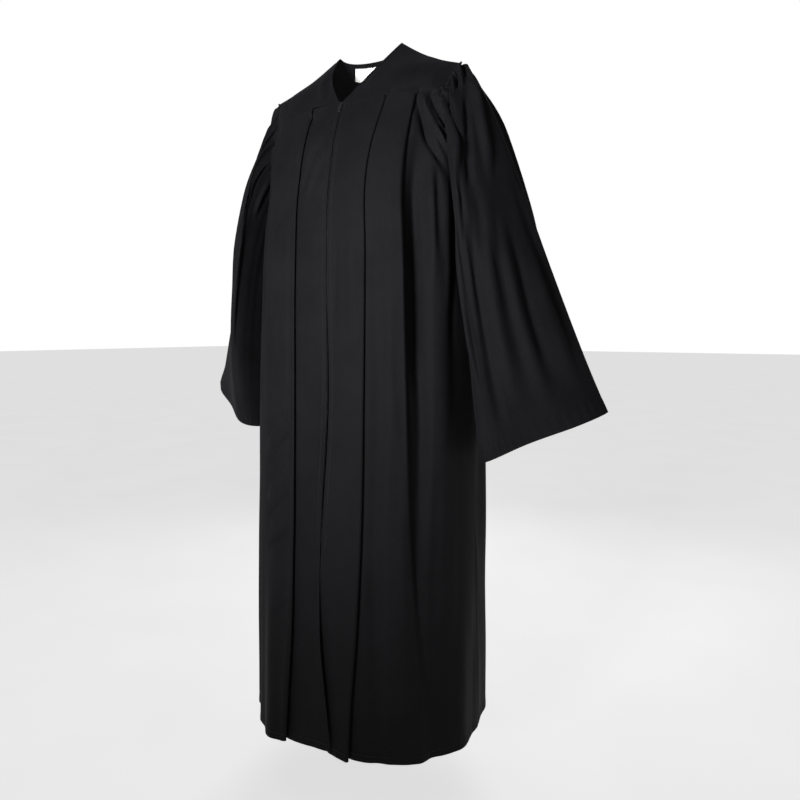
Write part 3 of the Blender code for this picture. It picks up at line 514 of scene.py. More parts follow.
# Broad swells on each side: distance from the centre front, half width, and height out of the tube
# at the hem, the knee, the hip, the chest and the yoke seam.
SWELL_HEIGHTS = (-1.295, -1.050, -0.660, -0.250, -0.125)
FRONT_SWELLS = {
    "left": [
        (0.182, 0.026, (0.000, -0.006, -0.013, -0.012, -0.003)),
        (0.225, 0.028, (0.002, 0.005, 0.006, 0.003, 0.000)),
        (0.268, 0.060, (0.018, 0.008, -0.002, 0.000, 0.000)),
        (0.110, 0.022, (-0.003, -0.005, -0.004, -0.001, 0.000)),
    ],
    "right": [
        (0.178, 0.026, (-0.002, -0.006, -0.010, -0.009, -0.003)),
        (0.225, 0.028, (0.004, 0.005, 0.005, 0.003, 0.000)),
        (0.280, 0.026, (-0.004, -0.005, -0.004, 0.000, 0.000)),
        (0.108, 0.034, (0.010, 0.003, -0.004, -0.002, 0.000)),
        (0.205, 0.040, (-0.016, -0.003, 0.000, 0.000, 0.000)),
    ],
}
# Folds: height out of the cloth, half width, then points (distance from the centre
# front, height) from one end of the fold to the other.
FRONT_FOLDS = {
    "left": [
        (-0.0100, 0.009, [(0.148, -0.106), (0.160, -0.150), (0.182, -0.195), (0.212, -0.240),
                          (0.232, -0.275)]),
        (0.0070, 0.007, [(0.154, -0.104), (0.172, -0.145), (0.198, -0.185), (0.228, -0.228),
                         (0.246, -0.256)]),
        (-0.0070, 0.006, [(0.164, -0.104), (0.186, -0.142), (0.214, -0.180), (0.244, -0.216)]),
        (0.0050, 0.006, [(0.174, -0.104), (0.198, -0.140), (0.226, -0.176), (0.250, -0.204)]),
        (-0.0048, 0.005, [(0.186, -0.106), (0.208, -0.140), (0.234, -0.172)]),
        (-0.0150, 0.021, [(0.158, -0.130), (0.164, -0.262), (0.172, -0.420), (0.180, -0.700)]),
        (0.0036, 0.014, [(0.184, -0.205), (0.198, -0.262), (0.206, -0.340), (0.208, -0.480)]),
        (-0.0034, 0.010, [(0.200, -0.225), (0.212, -0.290), (0.217, -0.420)]),
        (0.0044, 0.012, [(0.212, -0.232), (0.228, -0.290), (0.234, -0.380), (0.236, -0.520)]),
        (-0.0040, 0.018, [(0.186, -0.520), (0.192, -0.760), (0.196, -1.000)]),
        (-0.0035, 0.016, [(0.236, -0.290), (0.244, -0.420), (0.246, -0.600)]),
        (0.0030, 0.018, [(0.250, -0.620), (0.252, -0.900), (0.246, -1.150)]),
        (-0.0030, 0.018, [(0.222, -0.700), (0.220, -0.950), (0.214, -1.200)]),
        (-0.0020, 0.010, [(0.020, -0.300), (0.030, -0.400), (0.026, -0.560)]),
        (0.0016, 0.012, [(0.062, -0.260), (0.058, -0.420), (0.064, -0.600)]),
        (-0.0016, 0.012, [(0.118, -0.180), (0.122, -0.300), (0.116, -0.440)]),
        (0.0016, 0.014, [(0.134, -0.420), (0.130, -0.600), (0.140, -0.780)]),
    ],
    "right": [
        (0.0035, 0.006, [(-0.003, -0.560), (-0.004, -0.700), (-0.003, -0.900)]),
        (-0.0070, 0.010, [(0.132, -0.785), (0.098, -0.742), (0.064, -0.700)]),
        (0.0062, 0.011, [(0.138, -0.760), (0.104, -0.716), (0.068, -0.672)]),
        (-0.0064, 0.010, [(0.132, -0.890), (0.094, -0.846), (0.060, -0.806)]),
        (0.0056, 0.011, [(0.136, -0.860), (0.100, -0.816), (0.064, -0.776)]),
        (-0.0052, 0.009, [(0.126, -0.948), (0.092, -0.914), (0.058, -0.884)]),
        (-0.0046, 0.009, [(0.110, -1.068), (0.082, -1.040), (0.058, -1.016)]),
        (0.0044, 0.011, [(0.004, -0.180), (0.024, -0.235), (0.048, -0.300)]),
        (-0.0042, 0.010, [(0.014, -0.165), (0.036, -0.222), (0.058, -0.290)]),
        (0.0034, 0.009, [(0.030, -0.150), (0.046, -0.195), (0.060, -0.240)]),
        (-0.0060, 0.014, [(0.078, -0.140), (0.076, -0.400), (0.072, -0.660), (0.066, -1.050)]),
        (-0.0040, 0.005, [(0.074, -0.126), (0.064, -0.140), (0.057, -0.160)]),
        (-0.0035, 0.005, [(0.052, -0.124), (0.057, -0.140), (0.057, -0.162)]),
        (-0.0045, 0.012, [(0.150, -0.150), (0.166, -0.190), (0.200, -0.232)]),
        (0.0040, 0.011, [(0.160, -0.136), (0.184, -0.170), (0.214, -0.214)]),
        (-0.0060, 0.014, [(0.150, -0.210), (0.166, -0.290), (0.180, -0.400)]),
        (0.0030, 0.013, [(0.192, -0.250), (0.202, -0.350), (0.206, -0.500)]),
        (-0.0030, 0.016, [(0.230, -0.300), (0.242, -0.450), (0.240, -0.640)]),
        (0.0020, 0.014, [(0.100, -0.300), (0.104, -0.440), (0.098, -0.580)]),
    ],
}
COLUMNS_BETWEEN = {"fold": 5, "strip": 5, "side": 8}
FRONT_ROWS = 190


def front_seam_z(arc):
    return FRONT_SEAM_Z - FRONT_SEAM_DROP * np.minimum(np.abs(arc) / FRONT_SEAM_END, 1.0) ** 1.5


def pleat(side_name, column, z):
    return through(z, PLEAT_HEIGHTS, PLEATS[side_name][column])


def hem_z(side_name, arc):
    """The left front's hem dips, and the right front's rises towards its free edge."""
    if side_name == "left":
        return -LENGTH - HEM_DIP * bump(arc - 0.16, 0.15)
    return -LENGTH + HEM_RISE * bump(arc + 0.03, 0.14)


def front_armhole(share):
    top = front_seam_z(FRONT_SEAM_END)
    end = side_arc(UNDERARM_Z) - SEAM_GAP / 2
    return FRONT_SEAM_END + (end - FRONT_SEAM_END) * share ** 1.7, top + (UNDERARM_Z - top) * share


def fold_points(edge, under, ply, faces):
    """Six (arc, out) points of a fold at each height, from the layer nearer the centre on."""
    half = ply / 2
    tucked = np.maximum(under, 1.5 * ply)
    closed = [(-half, 2 * ply), (0 * ply, 1.5 * ply), (-half, ply),
              (half - tucked, ply), (-tucked, half), (half - tucked, 0 * ply)]
    width = 3 * ply - np.minimum(under, 0.0)
    openness = smooth(1.0 - under / (1.5 * ply))
    points = []
    for number, (arc, out) in enumerate(closed):
        share = number / 5
        points.append((edge + faces * mix(arc, width * share - half, openness),
                       mix(out, 2 * ply * (1 - smooth(share)), openness)))
    return points[::faces]


def front_profile(side_name, z):
    """(arc, out) of the pleats' columns at heights z, from the free edge outwards."""
    beside_slider = smooth((z - SLIDER_FOOT_Z + 0.008) / 0.010)
    edge = pleat(side_name, "centre", z) + FRONT_EDGE_GAP + SLIDER_OPENING * beside_slider
    edge_out = through(z, PLEAT_HEIGHTS, PLEAT_PLY["inner"]) + pleat(side_name, "centre_out", z)
    inner, outer = [fold_points(pleat(side_name, fold, z), through(z, PLEAT_HEIGHTS, PLEAT_UNDER[fold]),
                                through(z, PLEAT_HEIGHTS, PLEAT_PLY[fold]), faces)
                    for fold, faces in (("inner", PLEATS[side_name]["faces"]), ("outer", 1))]
    first = [(mix(edge, inner[0][0], share), mix(edge_out, inner[0][1], share)) for share in STRIP_SHARES]
    second = [(mix(inner[-1][0], outer[0][0], share), mix(inner[-1][1], outer[0][1], share))
              for share in BETWEEN_SHARES]
    return first + inner + second + outer


PLEAT_COLUMNS = len(STRIP_SHARES) + 6 + len(BETWEEN_SHARES) + 6


def front_column(side_name, number, z, row_share):
    """(arc, out) of one drawn column at heights z."""
    if number < PLEAT_COLUMNS:
        return front_profile(side_name, z)[number]
    share = SIDE_SHARES[number - PLEAT_COLUMNS]
    outer_top = pleat(side_name, "outer", FRONT_SEAM_Z)
    if share <= SEAM_SHARE:
        top_arc = outer_top + (FRONT_SEAM_END - outer_top) * share / SEAM_SHARE
    else:
        top_arc = front_armhole((share - SEAM_SHARE) / (1 - SEAM_SHARE))[0]
    outer = pleat(side_name, "outer", z)
    settled = outer + (side_arc(z) - SEAM_GAP / 2 - outer) * share
    return mix(top_arc, settled, smooth(row_share / SETTLE_SHARE)), 0.0 * z


def front_ends(side_name):
    """Height of the top and of the hem of every drawn column."""
    tops, feet = [], []
    top_profile = front_profile(side_name, np.array(FRONT_SEAM_Z))
    hem_profile = front_profile(side_name, np.array(-LENGTH))
    for number in range(PLEAT_COLUMNS):
        tops.append(front_seam_z(top_profile[number][0]))
        feet.append(hem_z(side_name, hem_profile[number][0]))
    outer_top, outer_hem = [pleat(side_name, "outer", z) for z in (FRONT_SEAM_Z, -LENGTH)]
    for share in SIDE_SHARES:
        if share <= SEAM_SHARE:
            tops.append(front_seam_z(outer_top + (FRONT_SEAM_END - outer_top) * share / SEAM_SHARE))
        else:
            tops.append(front_armhole((share - SEAM_SHARE) / (1 - SEAM_SHARE))[1])
        feet.append(hem_z(side_name, mix(outer_hem, side_arc(-LENGTH), share)))
    return np.array(tops, float), np.array(feet, float)


def rounded(controls, t):
    """A point between the second and third of four controls, on a curve by chord length."""
    p0, p1, p2, p3 = controls
    chords = [np.maximum(np.hypot(*(b - a)), 1e-6) for a, b in ((p0, p1), (p1, p2), (p2, p3))]
    slopes = [(p1 - p0) / chords[0], (p2 - p1) / chords[1], (p3 - p2) / chords[2]]
    m1 = (slopes[0] * chords[1] + slopes[1] * chords[0]) / (chords[0] + chords[1])
    m2 = (slopes[1] * chords[2] + slopes[2] * chords[1]) / (chords[1] + chords[2])
    span = chords[1]
    return ((2 * t ** 3 - 3 * t ** 2 + 1) * p1 + (t ** 3 - 2 * t ** 2 + t) * span * m1
            + (3 * t ** 2 - 2 * t ** 3) * p2 + (t ** 3 - t ** 2) * span * m2)


def front_places(side_name):
    """Heights, arcs and outs of a front's whole grid of points."""
    count = PLEAT_COLUMNS + len(SIDE_SHARES)
    tops, feet = front_ends(side_name)
    shares = np.linspace(0.0, 1.0, FRONT_ROWS) ** 1.12
    places = []
    for number in range(count - 1):
        kind = "side" if number >= PLEAT_COLUMNS - 1 else "strip"
        steps = COLUMNS_BETWEEN[kind]
        places += [number + step / steps for step in range(steps)]
    places.append(count - 1.0)
    heights, arcs, outs = [], [], []
    for place in places:
        number = min(int(place), count - 2)
        t = place - number
        around = [min(max(number + step, 0), count - 1) for step in (-1, 0, 1, 2)]
        top, foot = mix(tops[number], tops[number + 1], t), mix(feet[number], feet[number + 1], t)
        z = top * (1 - shares) + foot * shares
        controls = [np.array(front_column(side_name, near, z, shares)) for near in around]
        if number == 0:
            controls[0] = 2 * controls[1] - controls[2]
        if number == count - 2:
            controls[3] = 2 * controls[2] - controls[1]
        arc, out = rounded(controls, t)
        heights.append(z)
        arcs.append(arc)
        outs.append(out)
    return [np.array(rows).T for rows in (heights, arcs, outs)]


def front_relief(side_name, arc, z):
    """How far the broad swells, the folds and faint waves move the cloth out."""
    settled = smooth((front_seam_z(arc) - z) / 0.05)
    height = rumple(arc, 0.6 * z, 11 if side_name == "left" else 12, 0.0010) * settled
    for centre, half_width, heights in FRONT_SWELLS[side_name]:
        height = height + through(z, SWELL_HEIGHTS, heights) * bump(arc - centre, half_width)
    return folded(height, FRONT_FOLDS[side_name], arc, z)


def hem_relief(relief, from_hem, ripple):
    """The dent of a hem's stitches and the puckers beside it."""
    relief = relief - STITCH_DENT * bump(from_hem - HEM_TURN, HEM_DENT_WIDTH)
    return relief + HEM_RIPPLE * ripple * bump(from_hem - HEM_TURN, HEM_RIPPLE_WIDTH)


def make_front(side_name, side):
    z, arc, out = front_places(side_name)
    edge = pleat(side_name, "centre", z) + FRONT_EDGE_GAP
    hem = hem_z(side_name, arc)
    top = z[:1]
    from_edge, from_hem, from_top = arc - edge, z - hem, top - z
    relief = front_relief(side_name, arc, z)
    puckers = np.cos(2 * math.pi * (arc + 0.003 * np.sin(140 * arc)) / TOP_PUCKER_PITCH)
    relief = relief + TOP_PUCKER * puckers * bump(from_top, 0.03)
    relief = relief - STITCH_DENT * bump(from_edge - TOPSTITCH, TOPSTITCH_DENT_WIDTH) * (z > ZIP_END_Z)
    relief = hem_relief(relief, from_hem, np.sin(2 * math.pi * (arc + 0.002 * np.sin(90 * arc)) / 0.016))
    seam = side_arc(z) - arc
    relief = relief - SEAM_DENT * bump(seam, SEAM_DENT_WIDTH)
    middle = on_body(z, arc, out + relief, side)
    normals = grid_normals(middle) * -side
    thickness = CLOTH_THICKNESS + edge_band(from_hem, HEM_TURN) + edge_band(from_edge, TOPSTITCH)
    piece = shell(side_name + "_front", middle, normals, thickness)
    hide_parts("front_" + side_name)
    return piece, middle, normals, thickness, from_hem, from_edge


FRONTS = {side_name: make_front(side_name, side) for side_name, side in (("left", 1), ("right", -1))}


# Back: one panel, drawn into the back yoke's seam in fine gathers that open into five broad
# flutes lower down. Its sides meet the fronts, and its hem is turned up and sewn like theirs.

BACK_SEAM_Z = -0.150
BACK_SEAM_END = 0.200
BACK_SEAM_SHARE = 0.74          # share of the panel's width that is sewn to the yoke
BACK_GATHERS = 11
BACK_GATHER_DEPTH = 0.0055
BACK_FLUTES = 5
BACK_FLUTE_DEPTH = 0.0110
BACK_ROWS = 140
BACK_COLUMNS = 253
# Folds: height out of the cloth, half width, then points (distance from the centre back
# towards the wearer's right, height) from one end of the fold to the other.
BACK_FOLDS = [
    (-0.0050, 0.013, [(-0.196, -0.170), (-0.176, -0.215), (-0.166, -0.300), (-0.160, -0.420)]),
    (0.0035, 0.012, [(-0.214, -0.205), (-0.196, -0.260), (-0.188, -0.360), (-0.186, -0.500)]),
    (-0.0045, 0.014, [(0.196, -0.172), (0.180, -0.220), (0.170, -0.320), (0.168, -0.450)]),
    (0.0035, 0.012, [(0.212, -0.210), (0.198, -0.280), (0.192, -0.380), (0.192, -0.520)]),
    (-0.0030, 0.011, [(-0.062, -0.160), (-0.058, -0.260), (-0.066, -0.380)]),
    (0.0030, 0.012, [(-0.034, -0.158), (-0.030, -0.300), (-0.038, -0.460)]),
    (-0.0028, 0.012, [(0.022, -0.160), (0.026, -0.290), (0.018, -0.420)]),
    (0.0026, 0.013, [(0.074, -0.160), (0.078, -0.320), (0.086, -0.500)]),
    (-0.0032, 0.013, [(0.112, -0.160), (0.108, -0.280), (0.118, -0.400)]),
    (0.0030, 0.018, [(-0.120, -0.480), (-0.124, -0.720), (-0.132, -0.960)]),
    (-0.0030, 0.018, [(0.052, -0.560), (0.050, -0.800), (0.060, -1.060)]),
    (0.0026, 0.016, [(0.154, -0.640), (0.158, -0.880), (0.166, -1.120)]),
    (-0.0026, 0.018, [(-0.200, -0.620), (-0.206, -0.860), (-0.214, -1.100)]),
    (0.0024, 0.011, [(-0.250, -0.480), (-0.206, -0.520), (-0.160, -0.548)]),
    (-0.0024, 0.010, [(0.262, -0.520), (0.222, -0.560), (0.176, -0.590)]),
    (0.0022, 0.010, [(0.240, -0.860), (0.204, -0.896), (0.170, -0.920)]),
]


def back_armhole(share):
    end = half_girth(UNDERARM_Z) - side_arc(UNDERARM_Z) - SEAM_GAP / 2
    return (BACK_SEAM_END + (end - BACK_SEAM_END) * share ** 1.5,
            BACK_SEAM_Z + (UNDERARM_Z - BACK_SEAM_Z) * share)


def back_out(share, drop):
    """Gathers of uneven length below the yoke, which settle into the flutes."""
    in_seam = 1 - smooth((np.abs(share) - 0.62) / 0.18)
    swell_in = 0.35 + 0.65 * smooth(drop / 0.05)
    fade = 1 - smooth((drop - 0.06) / (0.32 + 0.06 * np.sin(19 * share)))
    gathers = np.cos(math.pi * (BACK_GATHERS * share / BACK_SEAM_SHARE + 0.22 * np.sin(7.3 * share + 0.6)))
    flutes = np.cos(math.pi * BACK_FLUTES * share) * (1 - np.abs(share) ** 4)
    settle = smooth((drop - 0.05) / 0.55)
    return (BACK_GATHER_DEPTH * gathers * swell_in * fade * in_seam
            + BACK_FLUTE_DEPTH * (flutes - 0.3) * settle) * (1 - np.abs(share) ** 8)


def make_back():
    share, drop = np.meshgrid(np.linspace(-1.0, 1.0, BACK_COLUMNS), np.linspace(0.0, 1.0, BACK_ROWS) ** 1.12)
    across = np.abs(share)
    beyond = ((across - BACK_SEAM_SHARE) / (1 - BACK_SEAM_SHARE)).clip(0)
    armhole_arc, armhole_z = back_armhole(beyond)
    top_arc = np.sign(share) * np.where(beyond > 0, armhole_arc, BACK_SEAM_END * across / BACK_SEAM_SHARE)
    top = np.where(beyond > 0, armhole_z, BACK_SEAM_Z)
    z = top + (-LENGTH - top) * drop
    settled = (half_girth(z) - side_arc(z) - SEAM_GAP / 2) * share
    arc = mix(top_arc, settled, smooth(drop / SETTLE_SHARE))
    from_hem, from_top = z + LENGTH, top - z
    from_side = half_girth(z) - side_arc(z) - np.abs(arc)
    relief = back_out(share, drop) + rumple(arc, 0.6 * z, 13, 0.0010) * smooth(from_top / 0.05)
    relief = folded(relief, BACK_FOLDS, arc, z)
    fine = np.cos(2 * math.pi * (arc + 0.002 * np.sin(160 * arc)) / 0.0082)
    relief = relief + 0.0008 * fine * bump(from_top, 0.040) * (1 - smooth((across - 0.70) / 0.04))
    beside = np.where(share < 0, front_relief("left", side_arc(z), z), front_relief("right", side_arc(z), z))
    relief = relief + beside * bump(from_side, 0.07)
    relief = relief - SEAM_DENT * bump(from_side, SEAM_DENT_WIDTH)
    relief = hem_relief(relief, from_hem, np.sin(2 * math.pi * arc / 0.017))
    middle = on_body(z, half_girth(z) + arc, relief)
    normals = -grid_normals(middle)
    thickness = CLOTH_THICKNESS + edge_band(from_hem, HEM_TURN)
    piece = shell("back_panel", middle, normals, thickness)
    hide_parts("back")
    return piece, middle, normals, thickness, from_hem


BACK = make_back()


# Front yokes: flat shaped pieces from the shoulder seam to the front seam, whose inner edges
# make the V. The lower edge laps the tops of the pleats, and shows their steps.

NECK_POINT = (0.0717, 0.006, 0.0)
SHOULDER_TIP = (0.2080, -0.0220, -0.0710)
SHOULDER_HOLLOW = 0.007
SHOULDER_OUT = (0.30, 0.0, 0.954)
V_BOW = (0.010, -0.010, 0.0)
FRONT_BULGE = (0.001, -0.006, 0.004)
ARMHOLE_HOLLOW = (-0.0025, 0.0, 0.004)
YOKE_RISE = 0.0026
YOKE_LAP = 0.0012               # how far the yoke laps over the front
YOKE_CLEAR = 0.0009
YOKE_ROWS = 74
YOKE_COLUMNS = 96
# Folds of each front yoke: height, half width, points (share across, share down).
YOKE_FOLDS = {
    "left": [
        (0.0014, 0.070, [(0.10, 0.46), (0.14, 0.70), (0.20, 0.96)]),
        (-0.0014, 0.065, [(0.02, 0.60), (0.06, 0.78), (0.08, 0.98)]),
        (-0.0014, 0.075, [(0.58, 0.26), (0.64, 0.60), (0.70, 0.94)]),
        (0.0012, 0.070, [(0.82, 0.36), (0.84, 0.66), (0.84, 0.96)]),
    ],
    "right": [
        (0.0022, 0.055, [(0.10, 0.30), (0.15, 0.62), (0.20, 0.96)]),
        (-0.0026, 0.060, [(0.02, 0.36), (0.06, 0.66), (0.10, 0.92)]),
        (-0.0014, 0.070, [(0.62, 0.20), (0.68, 0.55), (0.66, 0.94)]),
        (0.0012, 0.070, [(0.80, 0.30), (0.82, 0.60), (0.80, 0.96)]),
    ],
}


def along(start, end, share):
    """Points from start to end, at an array of shares."""
    return mix(np.asarray(start, float), np.asarray(end, float), np.asarray(share, float)[..., None])


def shoulder_seam(share):
    point = along(NECK_POINT, SHOULDER_TIP, share)
    point[..., 2] -= SHOULDER_HOLLOW * np.sin(math.pi * share)
    return point


def front_seam(share):
    start = FRONT_EDGE_GAP + SLIDER_OPENING
    arc = start + (FRONT_SEAM_END - start) * share
    return on_body(front_seam_z(arc) + SEAM_GAP, arc, YOKE_RISE * (1 - smooth((share - 0.8) / 0.2)))


def bowed(line, share, bow):
    return line + np.array(bow) * np.sin(math.pi * np.asarray(share, float))[..., None]


def pleat_tops(side_name, arc):
    """How far out the uppermost layer of a front stands at its top."""
    inner, outer = [pleat(side_name, name, FRONT_SEAM_Z) for name in ("inner", "outer")]
    ply = PLEAT_PLY["inner"][-1]
    places = (0.0, inner - 0.001, inner + 0.004, outer - 0.001, outer + 0.004)
    out = np.interp(arc, places, (ply, 2 * ply, 0.0006, 2 * ply, 0.0))
    return out + front_relief(side_name, arc, front_seam_z(arc))


def make_front_yoke(side_name, side):
    share, drop = np.meshgrid(np.linspace(0.0, 1.0, YOKE_COLUMNS), np.linspace(0.0, 1.0, YOKE_ROWS))
    foot, foot_end, foot_start = front_seam(share), front_seam(np.array(1.0)), front_seam(np.array(0.0))
    neck = bowed(along(NECK_POINT, foot_start, drop), drop, V_BOW)
    armhole = bowed(along(SHOULDER_TIP, foot_end, drop), drop, ARMHOLE_HOLLOW)
    top = shoulder_seam(share)
    across, down = share[..., None], drop[..., None]
    plain = mix(along(NECK_POINT, SHOULDER_TIP, share), along(foot_start, foot_end, share), down)
    bulge = np.array(FRONT_BULGE) * np.sin(math.pi * across) * np.sin(math.pi * down)
    middle = mix(top, foot, down) + mix(neck, armhole, across) - plain + bulge
    middle[..., 1] -= SEAM_GAP / 2 * (1 - drop)
    middle[..., 2] -= YOKE_LAP * smooth((drop - 0.8) / 0.2)
    middle[..., 0] *= side
    normals = grid_normals(middle) * -side
    arc = FRONT_SEAM_END * share
    rise = pleat_tops(side_name, arc) + YOKE_CLEAR - YOKE_RISE * (1 - smooth((share - 0.8) / 0.2))
    relief = rise * smooth((drop - 0.86) / 0.14)
    relief = folded(relief, YOKE_FOLDS[side_name], share, drop)
    relief = relief + rumple(0.16 * share, 0.11 * drop, 21 if side > 0 else 22, 0.0006)
    relief = relief - 0.0010 * bump(drop, 0.035) - 0.0004 * bump(share - 0.05, 0.02)
    middle = middle + normals * relief[..., None]
    normals = grid_normals(middle) * -side
    thickness = CLOTH_THICKNESS + edge_band(0.15 * share, 0.004) + edge_band(0.11 * (1 - drop), 0.003, 0.0003)
    piece = shell(side_name + "_front_yoke", middle, normals, thickness)
    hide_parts("yoke_front_" + side_name)
    return piece, middle, normals, thickness


FRONT_YOKES = {name: make_front_yoke(name, side) for name, side in (("left", 1), ("right", -1))}


# Back yoke: one piece over both shoulders, sewn to the front yokes along the shoulder seams.
# Its upper edge is the back of the neck, faced and turned.

BACK_NECK = (0.0, 0.036, -0.011)
BACK_BULGE = (0.0, 0.011, 0.010)
BACK_ARMHOLE_BULGE = (-0.001, 0.008, 0.010)
YOKE_SHOULDER_SHARE = 0.33      # share of the back yoke's width on each shoulder seam
BACK_YOKE_ROWS = 60
BACK_YOKE_COLUMNS = 201


def back_seam(arc):
    return on_body(BACK_SEAM_Z + SEAM_GAP, half_girth(BACK_SEAM_Z) + arc)


def back_yoke_top(share):
    """The upper edge, from the left shoulder tip (0) to the right one (1), and which way is out."""
    mirror = np.where(share > 0.5, -1.0, 1.0)
    near = np.minimum(share, 1 - share)
    on_shoulder = (near < YOKE_SHOULDER_SHARE)[..., None]
    shoulder = shoulder_seam(1 - np.minimum(near / YOKE_SHOULDER_SHARE, 1.0))
    turn = ((near - YOKE_SHOULDER_SHARE) / (1 - 2 * YOKE_SHOULDER_SHARE)).clip(0)
    depth = np.sin(math.pi * turn) ** 0.7
    lean = np.cos(math.pi * turn)
    neck = np.stack([NECK_POINT[0] * lean, NECK_POINT[1] + (BACK_NECK[1] - NECK_POINT[1]) * depth,
                     BACK_NECK[2] * depth], axis=-1)
    point = np.where(on_shoulder, shoulder, neck)
    leaning = np.stack([SHOULDER_OUT[0] * lean, 0.55 * (1 - np.abs(lean)),
                        SHOULDER_OUT[2] + 0 * lean], axis=-1)
    out = unit(np.where(on_shoulder, np.array(SHOULDER_OUT), leaning))
    point[..., 0] *= mirror
    out[..., 0] *= mirror
    point[..., 1] += SEAM_GAP / 2
    return point, out


def back_yoke_place(share, drop):
    """Points of the back yoke, and which way is out."""
    share, drop = np.broadcast_arrays(np.asarray(share, float), np.asarray(drop, float))
    top, top_out = back_yoke_top(share)
    arc = BACK_SEAM_END * (2 * share - 1)
    foot = back_seam(arc)
    ahead = back_seam(arc + 0.002) - back_seam(arc - 0.002)
    foot_out = unit(np.stack([ahead[..., 1], -ahead[..., 0], 0 * arc], axis=-1))
    hump = np.sin(math.pi * drop)
    left = np.array(BACK_ARMHOLE_BULGE) * hump[..., None]
    edge = mix(left, left * np.array([-1.0, 1.0, 1.0]), share[..., None])
    bulge = np.array(BACK_BULGE) * (np.sin(math.pi * share) * hump)[..., None]
    down = smooth(drop)[..., None]
    return mix(top, foot, drop[..., None]) + edge + bulge, unit(mix(top_out, foot_out, down))


def make_back_yoke():
    share, drop = np.meshgrid(np.linspace(0.0, 1.0, BACK_YOKE_COLUMNS), np.linspace(0.0, 1.0, BACK_YOKE_ROWS))
    middle, out = back_yoke_place(share, drop)
    middle[..., 2] -= YOKE_LAP * smooth((drop - 0.8) / 0.2)
    in_seam = 1 - smooth((np.abs(2 * share - 1) - 0.84) / 0.14)
    gathers = np.cos(math.pi * BACK_GATHERS * (2 * share - 1))
    rise = YOKE_CLEAR + (0.0008 + BACK_GATHER_DEPTH * 0.35 * (0.5 + 0.5 * gathers)) * in_seam
    relief = rise * smooth((drop - 0.88) / 0.12) - 0.0010 * bump(drop, 0.03) * (np.abs(share - 0.5) > 0.17)
    relief = relief + rumple(0.5 * share, 0.16 * drop, 23, 0.0006) * smooth(drop / 0.2)
    middle = middle + out * relief[..., None]
    thickness = CLOTH_THICKNESS + edge_band(0.15 * drop, 0.004) + edge_band(0.15 * (1 - drop), 0.003, 0.0003)
    piece = shell("back_yoke", middle, out, thickness)
    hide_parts("yoke_back")
    return piece, middle, out, thickness


BACK_YOKE = make_back_yoke()


# Sleeves: wide open bells, eased into the armhole with small gathers over the shoulder. They
# fall in long soft folds, and their hems are turned up and sewn.

SLEEVE_ROWS = 160
SLEEVE_COLUMNS = 256
SLEEVE_GATHERS = 13
SLEEVE_GATHER_DEPTH = 0.0052
SLEEVE_TUCK = 0.0010            # how far the sleeve's edge lies below the body's at the seam
SLEEVE_PUFF = 0.030
SIDE_PUFF = 0.012
SIDE_SPREAD = 0.048
HEAD_RISE = 0.016
UNDER_DROP = 0.011
ELBOW_SHARE = 0.45
FRONT_FULLNESS = (0.012, 0.085)
SLEEVE_GIRTH = 0.70             # metres of cloth round the middle of a sleeve
SLEEVE_LENGTH = 0.62
SLEEVE_POSES = {
    "left": {"head": 0.016, "elbow": 0.034, "lift": 0.0, "tuck": 0.0},
    "right": {"head": 0.000, "elbow": 0.078, "lift": 0.024, "tuck": 0.004},
}
SLEEVE_HEM = {
    "ring": (0.000, 0.090, 0.200, 0.330, 0.420, 0.500, 0.580, 0.670, 0.800, 0.910),
    "x": (0.4570, 0.4280, 0.3550, 0.3000, 0.2700, 0.2520, 0.2550, 0.3000, 0.3700, 0.4330),
    "y": (0.049, 0.004, -0.032, -0.062, -0.044, 0.030, 0.100, 0.125, 0.118, 0.088),
    "z": (-0.672, -0.690, -0.722, -0.752, -0.762, -0.762, -0.750, -0.728, -0.698, -0.676),
}
